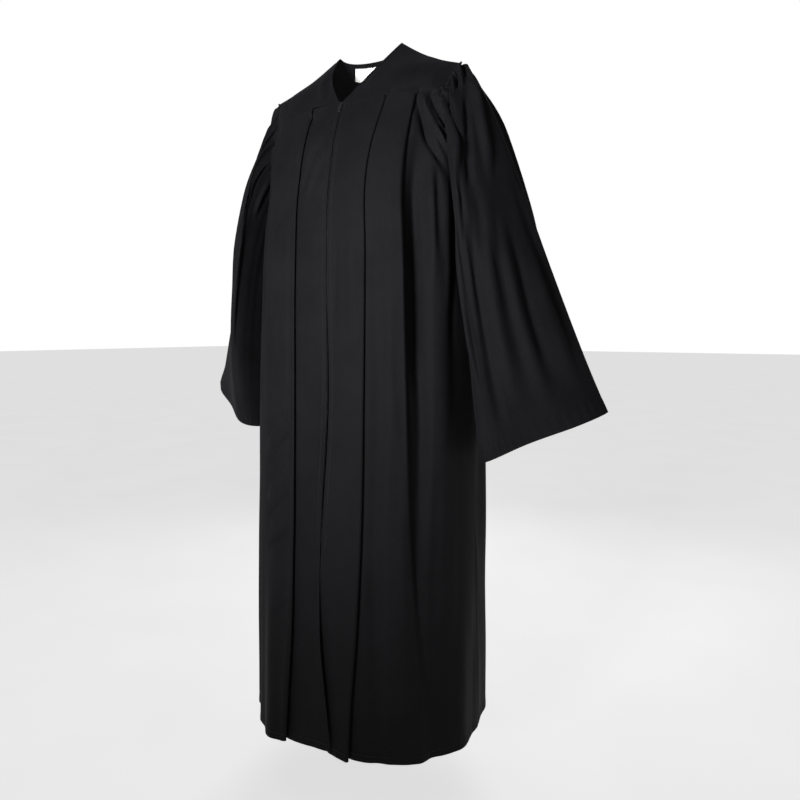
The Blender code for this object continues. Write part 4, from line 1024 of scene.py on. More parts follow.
# Folds: height out of the cloth, half width in metres, then points (share round the
# sleeve from the shoulder forwards, share of the way down to the hem).
SLEEVE_FOLDS = {
    "left": [
        (-0.0070, 0.0060, [(0.112, -0.012), (0.122, 0.040), (0.136, 0.090)]),
        (0.0050, 0.0050, [(0.100, -0.012), (0.108, 0.040), (0.120, 0.085)]),
        (-0.0070, 0.0055, [(0.088, -0.012), (0.096, 0.042), (0.108, 0.095)]),
        (-0.0066, 0.0055, [(0.140, -0.012), (0.150, 0.045), (0.164, 0.095)]),
        (-0.0062, 0.0055, [(0.064, -0.012), (0.072, 0.040), (0.084, 0.090)]),
        (-0.0060, 0.0055, [(0.040, -0.012), (0.048, 0.050), (0.060, 0.110)]),
        (-0.0056, 0.0055, [(0.166, -0.012), (0.178, 0.040), (0.192, 0.090)]),
        (-0.0105, 0.010, [(0.128, 0.000), (0.146, 0.075), (0.170, 0.125), (0.192, 0.195)]),
        (0.0073, 0.010, [(0.104, 0.000), (0.112, 0.080), (0.136, 0.140), (0.160, 0.220)]),
        (-0.0080, 0.009, [(0.058, 0.000), (0.064, 0.045), (0.078, 0.095), (0.104, 0.165)]),
        (0.0063, 0.009, [(0.040, 0.000), (0.046, 0.060), (0.062, 0.120), (0.084, 0.180)]),
        (-0.0070, 0.009, [(0.020, 0.000), (0.026, 0.060), (0.048, 0.135), (0.066, 0.210)]),
        (0.0059, 0.009, [(0.000, 0.010), (0.010, 0.075), (0.026, 0.140), (0.042, 0.210)]),
        (-0.0063, 0.009, [(-0.016, 0.000), (-0.002, 0.080), (0.010, 0.150), (0.020, 0.220)]),
        (-0.0109, 0.016, [(0.000, 0.130), (0.030, 0.258), (0.050, 0.342), (0.066, 0.430),
                          (0.090, 0.520)]),
        (0.0084, 0.018, [(0.044, 0.190), (0.090, 0.300), (0.120, 0.380), (0.160, 0.480)]),
        (-0.0088, 0.016, [(0.158, 0.220), (0.176, 0.300), (0.214, 0.420), (0.250, 0.560)]),
        (-0.0084, 0.022, [(0.086, 0.470), (0.126, 0.560), (0.156, 0.650), (0.176, 0.770),
                          (0.196, 0.960)]),
        (0.0070, 0.020, [(0.170, 0.470), (0.204, 0.640), (0.230, 0.800), (0.262, 0.990)]),
        (-0.0070, 0.018, [(0.078, 0.540), (0.096, 0.620), (0.120, 0.780), (0.140, 0.990)]),
        (0.0080, 0.020, [(0.060, 0.560), (0.082, 0.660), (0.094, 0.760), (0.100, 0.960)]),
        (-0.0063, 0.018, [(0.030, 0.620), (0.048, 0.760), (0.056, 0.960)]),
        (0.0070, 0.022, [(0.004, 0.480), (0.012, 0.680), (0.016, 0.900)]),
        (-0.0077, 0.020, [(0.280, 0.440), (0.300, 0.620), (0.318, 0.860)]),
        (0.0063, 0.020, [(0.340, 0.320), (0.352, 0.560), (0.366, 0.880)]),
        (-0.0077, 0.014, [(0.320, 0.060), (0.326, 0.180), (0.338, 0.320)]),
        (0.0063, 0.013, [(0.260, 0.040), (0.268, 0.150), (0.284, 0.280)]),
        (-0.0070, 0.012, [(0.880, 0.000), (0.872, 0.080), (0.850, 0.200)]),
        (0.0063, 0.012, [(0.846, 0.000), (0.838, 0.100), (0.812, 0.220)]),
        (-0.0088, 0.020, [(0.940, 0.160), (0.922, 0.320), (0.900, 0.520), (0.880, 0.740)]),
        (0.0080, 0.022, [(0.860, 0.260), (0.830, 0.460), (0.806, 0.700), (0.800, 0.940)]),
        (-0.0070, 0.020, [(0.770, 0.300), (0.744, 0.520), (0.730, 0.800)]),
        (0.0063, 0.020, [(0.680, 0.360), (0.664, 0.620), (0.656, 0.900)]),
        (-0.0077, 0.012, [(0.590, 0.060), (0.600, 0.180), (0.620, 0.320)]),
    ],
    "right": [
        (-0.0045, 0.011, [(0.132, 0.000), (0.148, 0.080), (0.166, 0.150), (0.180, 0.240)]),
        (0.0035, 0.011, [(0.106, 0.000), (0.118, 0.080), (0.138, 0.160), (0.150, 0.250)]),
        (-0.0037, 0.010, [(0.060, 0.000), (0.070, 0.070), (0.086, 0.150), (0.100, 0.240)]),
        (0.0029, 0.010, [(0.034, 0.000), (0.044, 0.070), (0.056, 0.150), (0.070, 0.240)]),
        (-0.0029, 0.010, [(0.004, 0.000), (0.014, 0.080), (0.022, 0.180)]),
        (-0.0062, 0.018, [(0.150, 0.220), (0.170, 0.360), (0.196, 0.520), (0.206, 0.700)]),
        (0.0055, 0.020, [(0.196, 0.240), (0.226, 0.420), (0.250, 0.620), (0.262, 0.860)]),
        (-0.0048, 0.020, [(0.284, 0.300), (0.304, 0.520), (0.318, 0.800)]),
        (0.0046, 0.020, [(0.094, 0.340), (0.108, 0.560), (0.116, 0.860)]),
        (-0.0048, 0.020, [(0.040, 0.300), (0.052, 0.520), (0.060, 0.860)]),
        (-0.0053, 0.014, [(0.330, 0.060), (0.336, 0.190), (0.344, 0.330)]),
        (0.0029, 0.012, [(0.270, 0.040), (0.278, 0.160), (0.290, 0.290)]),
        (0.0048, 0.022, [(0.930, 0.200), (0.914, 0.420), (0.906, 0.760)]),
        (-0.0053, 0.020, [(0.864, 0.180), (0.842, 0.420), (0.826, 0.760)]),
        (0.0046, 0.020, [(0.780, 0.260), (0.756, 0.520), (0.744, 0.900)]),
        (-0.0044, 0.018, [(0.690, 0.200), (0.676, 0.460), (0.668, 0.800)]),
        (-0.0032, 0.012, [(0.900, 0.000), (0.890, 0.080), (0.874, 0.190)]),
        (0.0029, 0.012, [(0.840, 0.000), (0.834, 0.100), (0.814, 0.220)]),
    ],
}


def armhole_ring(side_name, side):
    """The edges that a sleeve is sewn to, from the tip of the shoulder forwards and round.

    Each point has the direction away from the body's piece, that piece's outward direction,
    and the sleeve's. All are mirrored to the left side.
    """
    mirror = np.array([side, 1.0, 1.0])
    yoke, back_yoke = FRONT_YOKES[side_name], BACK_YOKE
    front, back = FRONTS[side_name], BACK
    rows = []

    def add(points, outs, shares, away, out):
        for point, piece_out, share in zip(points * mirror, outs * mirror, shares):
            rows.append((point, unit(away(share)), piece_out, unit(out(share))))

    drops = np.linspace(0.0, 1.0, YOKE_ROWS)
    add(yoke[1][:, -1], yoke[2][:, -1], drops,
        lambda share: (1, -0.1 * share, -0.15 * (1 - share)), lambda share: (0.1, -share, 1 - share))
    top = front_seam_z(FRONT_SEAM_END)
    fall = (top - front[1][0, :, 2]) / (top - UNDERARM_Z)
    first = (PLEAT_COLUMNS - 1) * COLUMNS_BETWEEN["strip"]
    chosen = [number for number in range(first, len(fall)) if fall[number] > 0.02]
    add(front[1][0, chosen], front[2][0, chosen], fall[chosen],
        lambda share: (1 - 0.5 * share, -0.1, 1.2 * share ** 2), lambda share: (0.1, share - 1, -share ** 2))
    fall = (BACK_SEAM_Z - back[1][0, :, 2]) / (BACK_SEAM_Z - UNDERARM_Z)
    numbers = range(BACK_COLUMNS) if side > 0 else range(BACK_COLUMNS - 1, -1, -1)
    chosen = [number for number in list(numbers)[:BACK_COLUMNS // 2] if fall[number] > 0.02][1:]
    add(back[1][0, chosen], back[2][0, chosen], fall[chosen],
        lambda share: (1 - 0.5 * share, 0.1, 1.2 * share ** 2), lambda share: (0.1, 1 - share, -share ** 2))
    column = 0 if side > 0 else -1
    drops = np.linspace(1.0, 0.0, BACK_YOKE_ROWS)[:-1]
    add(back_yoke[1][:0:-1, column], back_yoke[2][:0:-1, column], drops,
        lambda share: (1, 0.1 * share, -0.15 * (1 - share)), lambda share: (0.1, share, 1 - share))
    return [np.array([row[part] for row in rows], float) for part in range(4)]


def round_loop(places, values, share):
    """A smooth closed curve through values given at the shares of a loop."""
    places, values = list(places), list(values)
    places = [place - 1 for place in places[-2:]] + places + [1 + place for place in places[:3]]
    values = values[-2:] + values + values[:3]
    row = np.clip(np.searchsorted(places, share, side="right") - 1, 1, len(places) - 3)
    places, p = np.array(places), np.array(values)
    t = (share - places[row]) / (places[row + 1] - places[row])
    p0, p1, p2, p3 = p[row - 1], p[row], p[row + 1], p[row + 2]
    return 0.5 * (2 * p1 + (p2 - p0) * t + (2 * p0 - 5 * p1 + 4 * p2 - p3) * t ** 2
                  + (3 * p1 - p0 - 3 * p2 + p3) * t ** 3)


def sleeve_gathers(share, drop):
    """Uneven gathers over the head, gone below the underarm."""
    head = 0.5 + 0.5 * np.cos(2 * math.pi * share)
    rise = 0.35 + 0.65 * smooth(drop / 0.05)
    fade = 1 - smooth((drop - 0.04) / (0.26 + 0.07 * np.sin(2 * math.pi * 5 * share)))
    uneven = share + 0.007 * np.sin(2 * math.pi * 4 * share + 0.8)
    crisp = 2 * np.abs(np.cos(math.pi * SLEEVE_GATHERS * uneven)) ** 0.8 - 1
    return SLEEVE_GATHER_DEPTH * head * rise * fade * crisp


def make_sleeve(side_name, side):
    pose = SLEEVE_POSES[side_name]
    ring = armhole_ring(side_name, side)
    looped = [np.concatenate([part, part[:1]]) for part in ring]
    lengths = np.concatenate([[0.0], np.cumsum(np.linalg.norm(np.diff(looped[0], axis=0), axis=1))])
    shares = np.arange(SLEEVE_COLUMNS) / SLEEVE_COLUMNS
    edge, away, piece_out, out = [
        np.stack([np.interp(shares, lengths / lengths[-1], part[:, axis]) for axis in range(3)], axis=-1)
        for part in looped]
    start = edge - unit(piece_out) * SLEEVE_TUCK - unit(away) * 0.0010
    over, ahead = np.cos(2 * math.pi * shares), np.sin(2 * math.pi * shares)
    top = over.clip(0)
    shoulder = start + np.stack([SLEEVE_PUFF + pose["head"] * top + SIDE_PUFF * np.abs(ahead),
                                 -SIDE_SPREAD * ahead, HEAD_RISE * top - UNDER_DROP * (1 - over)], axis=-1)
    hem = np.stack([round_loop(SLEEVE_HEM["ring"], SLEEVE_HEM[axis], shares) for axis in "xyz"], axis=-1)
    hem = hem + np.array([-pose["tuck"], 0.0, pose["lift"]])
    elbow = mix(hem, shoulder, ELBOW_SHARE)
    elbow[:, 0] -= pose["elbow"] * (1 + over) / 2
    shoulder[:, 1] -= FRONT_FULLNESS[0] * ahead.clip(0)
    elbow[:, 1] -= FRONT_FULLNESS[1] * ahead.clip(0)
    drops = np.linspace(0.0, 1.0, SLEEVE_ROWS) ** 1.15
    u = drops[:, None, None]
    middle = ((1 - u) ** 3 * start + 3 * (1 - u) ** 2 * u * shoulder
              + 3 * (1 - u) * u ** 2 * elbow + u ** 3 * hem)
    normals = -grid_normals(middle, closed=True)
    near_seam = smooth(drops / 0.03)[:, None, None]
    normals = unit(mix(np.broadcast_to(unit(out), normals.shape), normals, near_seam))
    share, drop = np.meshgrid(shares, drops)
    relief = sleeve_gathers(share, drop)
    fine = np.cos(2 * math.pi * (46 * share + 0.5 * np.sin(2 * math.pi * 9 * share)))
    relief = relief + 0.0011 * fine * (0.5 + 0.5 * np.cos(2 * math.pi * share)) * bump(drop, 0.09)
    for depth, half_width, points in SLEEVE_FOLDS[side_name]:
        route = [(place * SLEEVE_GIRTH, down * SLEEVE_LENGTH) for place, down in points]
        for turn in (-1, 0, 1):
            relief = relief + depth * fold_line(route, half_width, (share + turn) * SLEEVE_GIRTH,
                                                drop * SLEEVE_LENGTH)
    calm = smooth(drop / 0.10)
    waves = rumple(SLEEVE_GIRTH * np.sin(2 * math.pi * share) / 6, 0.3 * drop + 0.05 * over,
                   31 + side, 0.0014)
    relief = relief + waves * calm
    from_hem = (1 - drop) * SLEEVE_LENGTH
    relief = hem_relief(relief, from_hem, np.sin(2 * math.pi * 44 * share))
    relief = relief - 0.0014 * bump((share - 0.5) * SLEEVE_GIRTH, 0.005) * calm
    middle = middle + normals * (relief * smooth(drop / 0.012 + 0.15))[..., None]
    bent = -grid_normals(middle, closed=True)
    bent = unit(mix(normals, bent, near_seam))
    middle[..., 0] *= side
    bent[..., 0] *= side
    thickness = CLOTH_THICKNESS + edge_band(from_hem, HEM_TURN)
    piece = shell(side_name + "_sleeve", middle, bent, thickness, closed=True)
    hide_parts("sleeve_" + side_name)
    return piece, middle, bent, thickness, from_hem


SLEEVES = {name: make_sleeve(name, side) for name, side in (("left", 1), ("right", -1))}


# Zip tapes: woven black tape, one sewn inside each front's edge, with half of a nylon coil
# along its inner side. The two halves lie turn between turn, from the slider to the opening.

TAPE_WIDTH = 0.011
TAPE_THICKNESS = 0.0008
TAPE_BEHIND = 0.0003            # space between a tape and the doubled edge in front of it
TAPE_ROWS = 150
COIL_PITCH = 0.0013
COIL_RADIUS = 0.00032
COIL_REACH = 0.0011             # how far a turn reaches past the tape's edge
ZIP_TOP_Z = SLIDER_FOOT_Z + 0.014


def zip_tape_cloth():
    material, shader, surface = new_material("zip_tape_cloth", Specular_IOR_Level=0.25)
    weave = shader.add("ShaderNodeUVMap", {"uv_map": "weave"})
    ribs = shader.add("ShaderNodeTexWave", {"bands_direction": "Y"},
                      {"Vector": weave, "Scale": 260.0, "Distortion": 0.4}, output="Fac")
    place = shader.add("ShaderNodeTexCoord", output="Object")
    fuzz = shader.add("ShaderNodeTexNoise", {}, {"Vector": place, "Scale": 900.0, "Detail": 2.0})
    colour = shader.add("ShaderNodeValToRGB", {"stops": [(0.2, (0.0015, 0.0015, 0.0017)),
                                                         (0.8, (0.0045, 0.0045, 0.005))]}, {"Fac": fuzz})
    bumped = shader.add("ShaderNodeBump", {}, {"Height": ribs, "Strength": 0.5, "Distance": 0.0002})
    feed(shader, surface, Base_Color=colour, Normal=bumped, Roughness=0.62 + 0.2 * ribs)
    return material


TAPE_CLOTH = zip_tape_cloth()
NYLON = speckled("coil_nylon", 0.5, 240.0, 2.0, (0.003, 0.003, 0.0035), (0.009, 0.009, 0.010), 0.30, 0.2)


def tape_place(side_name, side, z, from_edge):
    """The middle of a tape at height z, and the outward direction there."""
    z, from_edge = np.broadcast_arrays(np.asarray(z, float), np.asarray(from_edge, float))
    profile = front_profile(side_name, z)
    arc = pleat(side_name, "centre", z) + FRONT_EDGE_GAP + from_edge
    slope = (profile[2][1] - profile[0][1]) / (profile[2][0] - profile[0][0])
    behind = CLOTH_THICKNESS + TAPE_BEHIND + TAPE_THICKNESS / 2
    out = profile[0][1] + slope * (arc - profile[0][0]) + front_relief(side_name, arc, z) - behind
    point = on_body(z, arc, out, side)
    return point, unit(on_body(z, arc, out + 0.001, side) - point)


def make_tape(side_name, side):
    heights = np.linspace(front_seam_z(0.0) - 0.0006, ZIP_END_Z, TAPE_ROWS)
    z, from_edge = np.meshgrid(heights, np.linspace(0.0, TAPE_WIDTH, 7), indexing="ij")
    middle, out = tape_place(side_name, side, z, from_edge)
    tape = shell(side_name + "_zip_tape", middle, out, TAPE_THICKNESS, material=TAPE_CLOTH)
    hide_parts("zip_tape_" + side_name)
    turns = np.arange(ZIP_END_Z + 0.004, ZIP_TOP_Z, COIL_PITCH) + (COIL_PITCH / 2 if side > 0 else 0.0)
    roots, outs = tape_place(side_name, side, turns, 0.0008)
    tips, _ = tape_place(side_name, side, turns, -COIL_REACH)
    coil = strands(side_name + "_zip_coil", roots, tips, outs, COIL_RADIUS, 0.00035, NYLON)


for side_name, side in (("left", 1), ("right", -1)):
    make_tape(side_name, side)


# Slider: a cast metal body in black enamel, narrower at its foot, with a crowned face and a
# bridge that is a bent strap. It stays at the top of the zip, on the slope of the chest.

ENAMEL_WEAR = (0.11, 0.11, 0.115)
SLIDER_SIZE = (0.0070, 0.0030, 0.0090)     # across, through and along the zip
SLIDER_NARROWING = 0.74
FLANGE_GROOVE = 0.0007
BRIDGE_WIDTH = 0.0012
BRIDGE_LENGTH = 0.0058
BRIDGE_BAR = 0.0009
BRIDGE_CLEAR = 0.0016
PIVOT_RADIUS = 0.0004
slider_low, slider_high = [Vector(corner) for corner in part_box("zip_slider")]


def enamelled_metal():
    """Black enamel, worn to bare metal along the edges."""
    material, shader, surface = new_material("enamelled_metal", Specular_IOR_Level=0.5)
    place = shader.add("ShaderNodeTexCoord", output="Object")
    edge = shader.add("ShaderNodeNewGeometry", output="Pointiness")
    scratch = shader.add("ShaderNodeTexNoise", {}, {"Vector": place, "Scale": 700.0, "Detail": 3.0})
    worn = shader.add("ShaderNodeMapRange", {"clamp": True},
                      {"Value": edge + 0.10 * scratch, "From Min": 0.57, "From Max": 0.66}, output=0)
    colour = shader.add("ShaderNodeMix", {"data_type": "RGBA"},
                        {"Factor": worn, 6: (0.010, 0.010, 0.011, 1.0), 7: (*ENAMEL_WEAR, 1.0)}, output=2)
    feed(shader, surface, Base_Color=colour, Metallic=0.35 + 0.5 * worn, Roughness=0.30 + 0.25 * scratch)
    return material


ENAMEL = enamelled_metal()


def pick_faces(piece, wanted):
    """Select the faces of a piece whose middle and normal answer a test."""
    for edge in piece.data.edges:
        edge.select = False
    for vertex in piece.data.vertices:
        vertex.select = False
    for face in piece.data.polygons:
        face.select = bool(wanted(face.center, face.normal))


def block(name, low, high):
    """A cube between two corners, ready to be shaped."""
    bpy.ops.object.select_all(action="DESELECT")
    low, high = Vector(low), Vector(high)
    bpy.ops.mesh.primitive_cube_add(size=1.0, location=(low + high) / 2)
    piece = bpy.context.object
    piece.name = name
    piece.scale = high - low
    bpy.ops.object.transform_apply(location=True, rotation=False, scale=True)
    return piece


def edit(piece, wanted, *steps):
    """Run edit mode operators on the chosen faces of a piece."""
    bpy.context.view_layer.objects.active = piece
    pick_faces(piece, wanted)
    bpy.ops.object.mode_set(mode="EDIT")
    bpy.ops.mesh.select_mode(type="FACE")
    for operator, settings in steps:
        operator(**settings)
    bpy.ops.object.mode_set(mode="OBJECT")


def soften(piece, width, segments=2):
    """Round a metal piece's edges."""
    bevel = piece.modifiers.new("rounding", "BEVEL")
    bevel.width = width
    bevel.segments = segments
    bevel.angle_limit = math.radians(35)
    bpy.context.view_layer.objects.active = piece
    bpy.ops.object.modifier_apply(modifier=bevel.name)


def seat_metal(piece, place, tilt, body, node):
    """Move a finished metal piece's mesh to its place on the zip, and hand it over."""
    piece.data.transform(Matrix.Translation(place) @ Matrix.Rotation(tilt, 4, "X"))
    piece.data.shade_smooth()
    piece.data.set_sharp_from_angle(angle=math.radians(40))
    piece.data.materials.clear()
    piece.data.materials.append(ENAMEL)
    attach(piece, body)
    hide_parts(node)


def slider_seat():
    """The middle of the slider's back, and how far it leans with the chest."""
    points = [sum(tape_place(name, side, z, 0.0)[0] for name, side in (("left", 1), ("right", -1))) / 2
              for z in (SLIDER_FOOT_Z + 0.013, SLIDER_FOOT_Z - 0.007)]
    rise = points[0] - points[1]
    tilt = -math.atan2(rise[1], rise[2])
    middle = (slider_low + slider_high) / 2
    depth = (SLIDER_SIZE[1] + BRIDGE_CLEAR + BRIDGE_BAR) / 2
    return middle + Vector((0.0, depth * math.cos(tilt), depth * math.sin(tilt))), tilt


SEAT, TILT = slider_seat()


def make_slider():
    half_width, depth, half_length = SLIDER_SIZE[0] / 2, SLIDER_SIZE[1], SLIDER_SIZE[2] / 2
    body = block("zip_slider_body", (-half_width, -depth, -half_length), (half_width, 0.0, half_length))
    edit(body, lambda middle, normal: normal.z < -0.9,
         (bpy.ops.transform.resize, {"value": (SLIDER_NARROWING, 1.0, 1.0)}))
    edit(body, lambda middle, normal: abs(normal.x) > 0.9,
         (bpy.ops.mesh.inset, {"thickness": FLANGE_GROOVE, "use_individual": True}),
         (bpy.ops.transform.resize, {"value": (0.80, 1.0, 1.0)}))
    edit(body, lambda middle, normal: normal.y < -0.9,
         (bpy.ops.mesh.inset, {"thickness": 0.0009}),
         (bpy.ops.mesh.extrude_region_move, {"TRANSFORM_OT_translate": {"value": (0.0, -0.0004, 0.0)}}),
         (bpy.ops.transform.resize, {"value": (0.84, 1.0, 0.88)}))
    soften(body, 0.00045, 3)
    half_bar, half_bridge = BRIDGE_WIDTH / 2, BRIDGE_LENGTH / 2
    top = depth + BRIDGE_CLEAR
    bridge = block("zip_bridge", (-half_bar, -top, half_bridge - BRIDGE_BAR), (half_bar, -depth, half_bridge))
    edit(bridge, lambda middle, normal: normal.y < -0.9,
         (bpy.ops.mesh.extrude_region_move, {"TRANSFORM_OT_translate": {"value": (0.0, -BRIDGE_BAR, 0.0)}}))
    edit(bridge, lambda middle, normal: normal.z < -0.9 and middle.y < -top,
         (bpy.ops.mesh.extrude_region_move,
          {"TRANSFORM_OT_translate": {"value": (0.0, 0.0, 2 * BRIDGE_BAR - BRIDGE_LENGTH)}}),
         (bpy.ops.mesh.extrude_region_move,
          {"TRANSFORM_OT_translate": {"value": (0.0, 0.0, -BRIDGE_BAR)}}))
    edit(bridge, lambda middle, normal: normal.y > 0.9 and middle.z < BRIDGE_BAR - half_bridge,
         (bpy.ops.mesh.extrude_region_move,
          {"TRANSFORM_OT_translate": {"value": (0.0, BRIDGE_CLEAR, 0.0)}}))
    soften(bridge, 0.00035, 3)
    bpy.ops.object.select_all(action="DESELECT")
    bridge.select_set(True)
    body.select_set(True)
    bpy.context.view_layer.objects.active = body
    bpy.ops.object.join()
    seat_metal(body, SEAT, TILT, "robe", "zip_slider")


make_slider()


# Pull tab: a stamped plate with a window at its upper end, whose top bar is the pin under the
# slider's bridge. It hangs on the slider's face and lifts forward.

PULL_LENGTH = 0.0150
PULL_WIDTH = 0.0044
PULL_THICKNESS = 0.0009
PULL_RAIL = 0.0009
PULL_WINDOW = 0.0060
GRIP_DEPTH = 0.00016
HINGE = Vector(frame["joints"][0]["pos_m"])


def make_pull():
    half_width, half_plate = PULL_WIDTH / 2, PULL_THICKNESS / 2
    pull = block("zip_pull_tab", (-half_width, -half_plate, -PULL_LENGTH),
                 (half_width, half_plate, PIVOT_RADIUS))
    edit(pull, lambda middle, normal: True,
         (bpy.ops.mesh.bisect, {"plane_co": (0.0, 0.0, -PULL_WINDOW - PULL_RAIL),
                                "plane_no": (0.0, 0.0, 1.0)}))
    edit(pull, lambda middle, normal: abs(normal.y) > 0.9 and middle.z > -PULL_WINDOW,
         (bpy.ops.mesh.inset, {"thickness": PULL_RAIL, "use_individual": True}),
         (bpy.ops.mesh.bridge_edge_loops, {}))
    edit(pull, lambda middle, normal: abs(normal.y) > 0.9 and middle.z < -PULL_WINDOW - PULL_RAIL,
         (bpy.ops.mesh.inset, {"thickness": 0.0008, "use_individual": True}),
         (bpy.ops.mesh.inset, {"thickness": 0.0003, "use_individual": True, "depth": -GRIP_DEPTH}))
    soften(pull, 0.00016, 2)
    seat_metal(pull, HINGE, TILT, "zip_pull", "zip_pull")


make_pull()


# Label: a small woven satin label inside the back yoke, bare, with its ends folded under and
# a row of white stitches round it.

LABEL_SHARES = (0.450, 0.600, 0.655)      # left edge, right edge at the top and at the foot
LABEL_DROPS = (0.065, 0.290)              # of the back yoke, upper edge to lower edge
LABEL_THICKNESS = 0.0006
LABEL_COLUMNS = 60
LABEL_ROWS = 28
LABEL_STITCH_INSET = 0.0015
LABEL_DARK = (0.70, 0.69, 0.66)
LABEL_LIGHT = (0.86, 0.86, 0.84)


def label_satin():
    material, shader, surface = new_material("label_satin", Specular_IOR_Level=0.35, Sheen_Weight=0.1)
    weave = shader.add("ShaderNodeUVMap", {"uv_map": "weave"})
    ribs = [shader.add("ShaderNodeTexWave", {"bands_direction": direction},
                       {"Vector": weave, "Scale": scale, "Distortion": 0.5, "Detail": 1.0}, output="Fac")
            for direction, scale in (("X", 820.0), ("Y", 620.0))]
    stain = shader.add("ShaderNodeTexNoise", {}, {"Vector": weave, "Scale": 60.0, "Detail": 3.0})
    colour = shader.add("ShaderNodeValToRGB", {"stops": [(0.2, LABEL_DARK), (0.8, LABEL_LIGHT)]},
                        {"Fac": 0.6 * stain + 0.2 * ribs[0] + 0.2 * ribs[1]})
    bumped = shader.add("ShaderNodeBump", {}, {"Height": ribs[0] * ribs[1], "Strength": 0.4,
                                               "Distance": 0.0001})
    feed(shader, surface, Base_Color=colour, Normal=bumped, Roughness=0.48 + 0.2 * ribs[0])
    return material


WHITE_THREAD = speckled("white_thread", 0.35, 1600.0, 2.0, (0.62, 0.62, 0.60), (0.84, 0.84, 0.82),
                        0.5, 0.2)


def make_label():
    across, down = np.meshgrid(np.linspace(0.0, 1.0, LABEL_COLUMNS), np.linspace(0.0, 1.0, LABEL_ROWS))
    share = mix(LABEL_SHARES[0], mix(LABEL_SHARES[1], LABEL_SHARES[2], down), across)
    drop = mix(LABEL_DROPS[0], LABEL_DROPS[1], down)
    middle, out = back_yoke_place(share, drop)
    relief = rumple(0.5 * share, 0.16 * drop, 23, 0.0006) * smooth(drop / 0.2)
    behind = CLOTH_THICKNESS + SEAM_GAP + LABEL_THICKNESS / 2 + edge_band(0.15 * drop, 0.004) / 2
    middle = middle + out * (relief - behind)[..., None]
    across = np.linalg.norm(np.diff(middle, axis=1), axis=2).mean() * (LABEL_COLUMNS - 1)
    tall = np.linalg.norm(np.diff(middle, axis=0), axis=2).mean() * (LABEL_ROWS - 1)
    from_side = across * (0.5 - np.abs(np.linspace(-0.5, 0.5, LABEL_COLUMNS)))
    from_end = tall * (0.5 - np.abs(np.linspace(-0.5, 0.5, LABEL_ROWS)))
    thickness = LABEL_THICKNESS + edge_band(from_side, 0.005, 0.0003)[None, :] + 0 * middle[..., 0]
    label = shell("neck_label", middle, out, thickness, material=label_satin())
    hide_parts("label")
    inner = middle - out * thickness[..., None] / 2
    row = int(np.argmin(np.abs(from_end[:LABEL_ROWS // 2] - LABEL_STITCH_INSET)))
    column = int(np.argmin(np.abs(from_side[:LABEL_COLUMNS // 2] - LABEL_STITCH_INSET)))
    box = [(inner[row, column:-column], -out[row, column:-column]),
           (inner[-1 - row, column:-column], -out[-1 - row, column:-column]),
           (inner[row:-row, column], -out[row:-row, column]),
           (inner[row:-row, -1 - column], -out[row:-row, -1 - column])]
    stitches = stitching("label_stitches", box, length=0.0020, space=0.0006, radius=0.00016,
                         thread=WHITE_THREAD)


make_label()


# Sewing: rows of lock stitches round the hems of the body and the sleeves, and down both sides
# of the zip, where the turned edge and the tape are sewn together.

def level_line(face, outs, distance, value):
    """The line on a sheet's face where a distance has one value, with a point for each column."""
    points, normals = [], []
    for column in range(face.shape[1]):
        order = np.argsort(distance[:, column])
        places = distance[order, column]
        points.append([np.interp(value, places, face[order, column, axis]) for axis in range(3)])
        normals.append(outs[len(outs) // 2 if value < 0 else -3, column])
    return np.array(points), np.array(normals)


def outer_face(piece, middle, outs, thickness, *rest):
    return middle + outs * np.broadcast_to(thickness, middle.shape[:2])[..., None] / 2


def hem_row(sheet, closed=False):
    face = outer_face(*sheet)
    from_hem = np.broadcast_to(sheet[4], face.shape[:2])
    points, normals = level_line(face, sheet[2], from_hem, HEM_TURN)
    if closed:
        points, normals = [np.concatenate([rows, rows[:1]]) for rows in (points, normals)]
    return points, normals


def zip_row(side_name):
    """Down a front, beside its free edge, from the yoke to the end of the zip."""
    sheet = FRONTS[side_name]
    face, outs, from_edge = outer_face(*sheet), sheet[2], sheet[5]
    rows = [row for row in range(1, face.shape[0]) if face[row, 0, 2] > ZIP_END_Z - 0.012]
    strip = slice(0, 4 * COLUMNS_BETWEEN["strip"])
    return [np.array([[np.interp(TOPSTITCH, from_edge[row, strip], grid[row, strip, axis])
                       for axis in range(3)] for row in rows]) for grid in (face, outs)]


stitching("body_hem_stitches", [hem_row(FRONTS["left"]), hem_row(FRONTS["right"]), hem_row(BACK)])
stitching("sleeve_hem_stitches", [hem_row(SLEEVES["left"], True), hem_row(SLEEVES["right"], True)])
stitching("zip_stitches", [zip_row("left"), zip_row("right")])


# Studio: a plain pale floor below the robe and a white surround, a soft key light from the
# front that falls off towards the hem, a weak fill from the side, a mild light overhead, one
# from behind, and a small lamp inside for the light that pale walls throw up into the neck.

FLOOR_Z = -1.42
LIGHTS = {
    # azimuth, elevation, distance, size, power, spread and the height it is aimed at
    "key": (4.0, -6.0, 2.2, 0.5, 9.5, 54.0, -0.30),
    "fill": (80.0, 8.0, 2.6, 1.0, 1.0, 120.0, -0.35),
    "overhead": (-20.0, 70.0, 2.3, 1.2, 0.6, 120.0, -0.30),
    "behind": (205.0, 25.0, 2.6, 1.4, 7.0, 120.0, -0.60),
}
NECK_LAMP_PLACE = Vector((0.030, -0.030, -0.190))
NECK_LAMP_AIM = Vector((-0.030, 0.050, -0.010))
NECK_LAMP_SIZE = 0.06
NECK_LAMP_POWER = 0.15


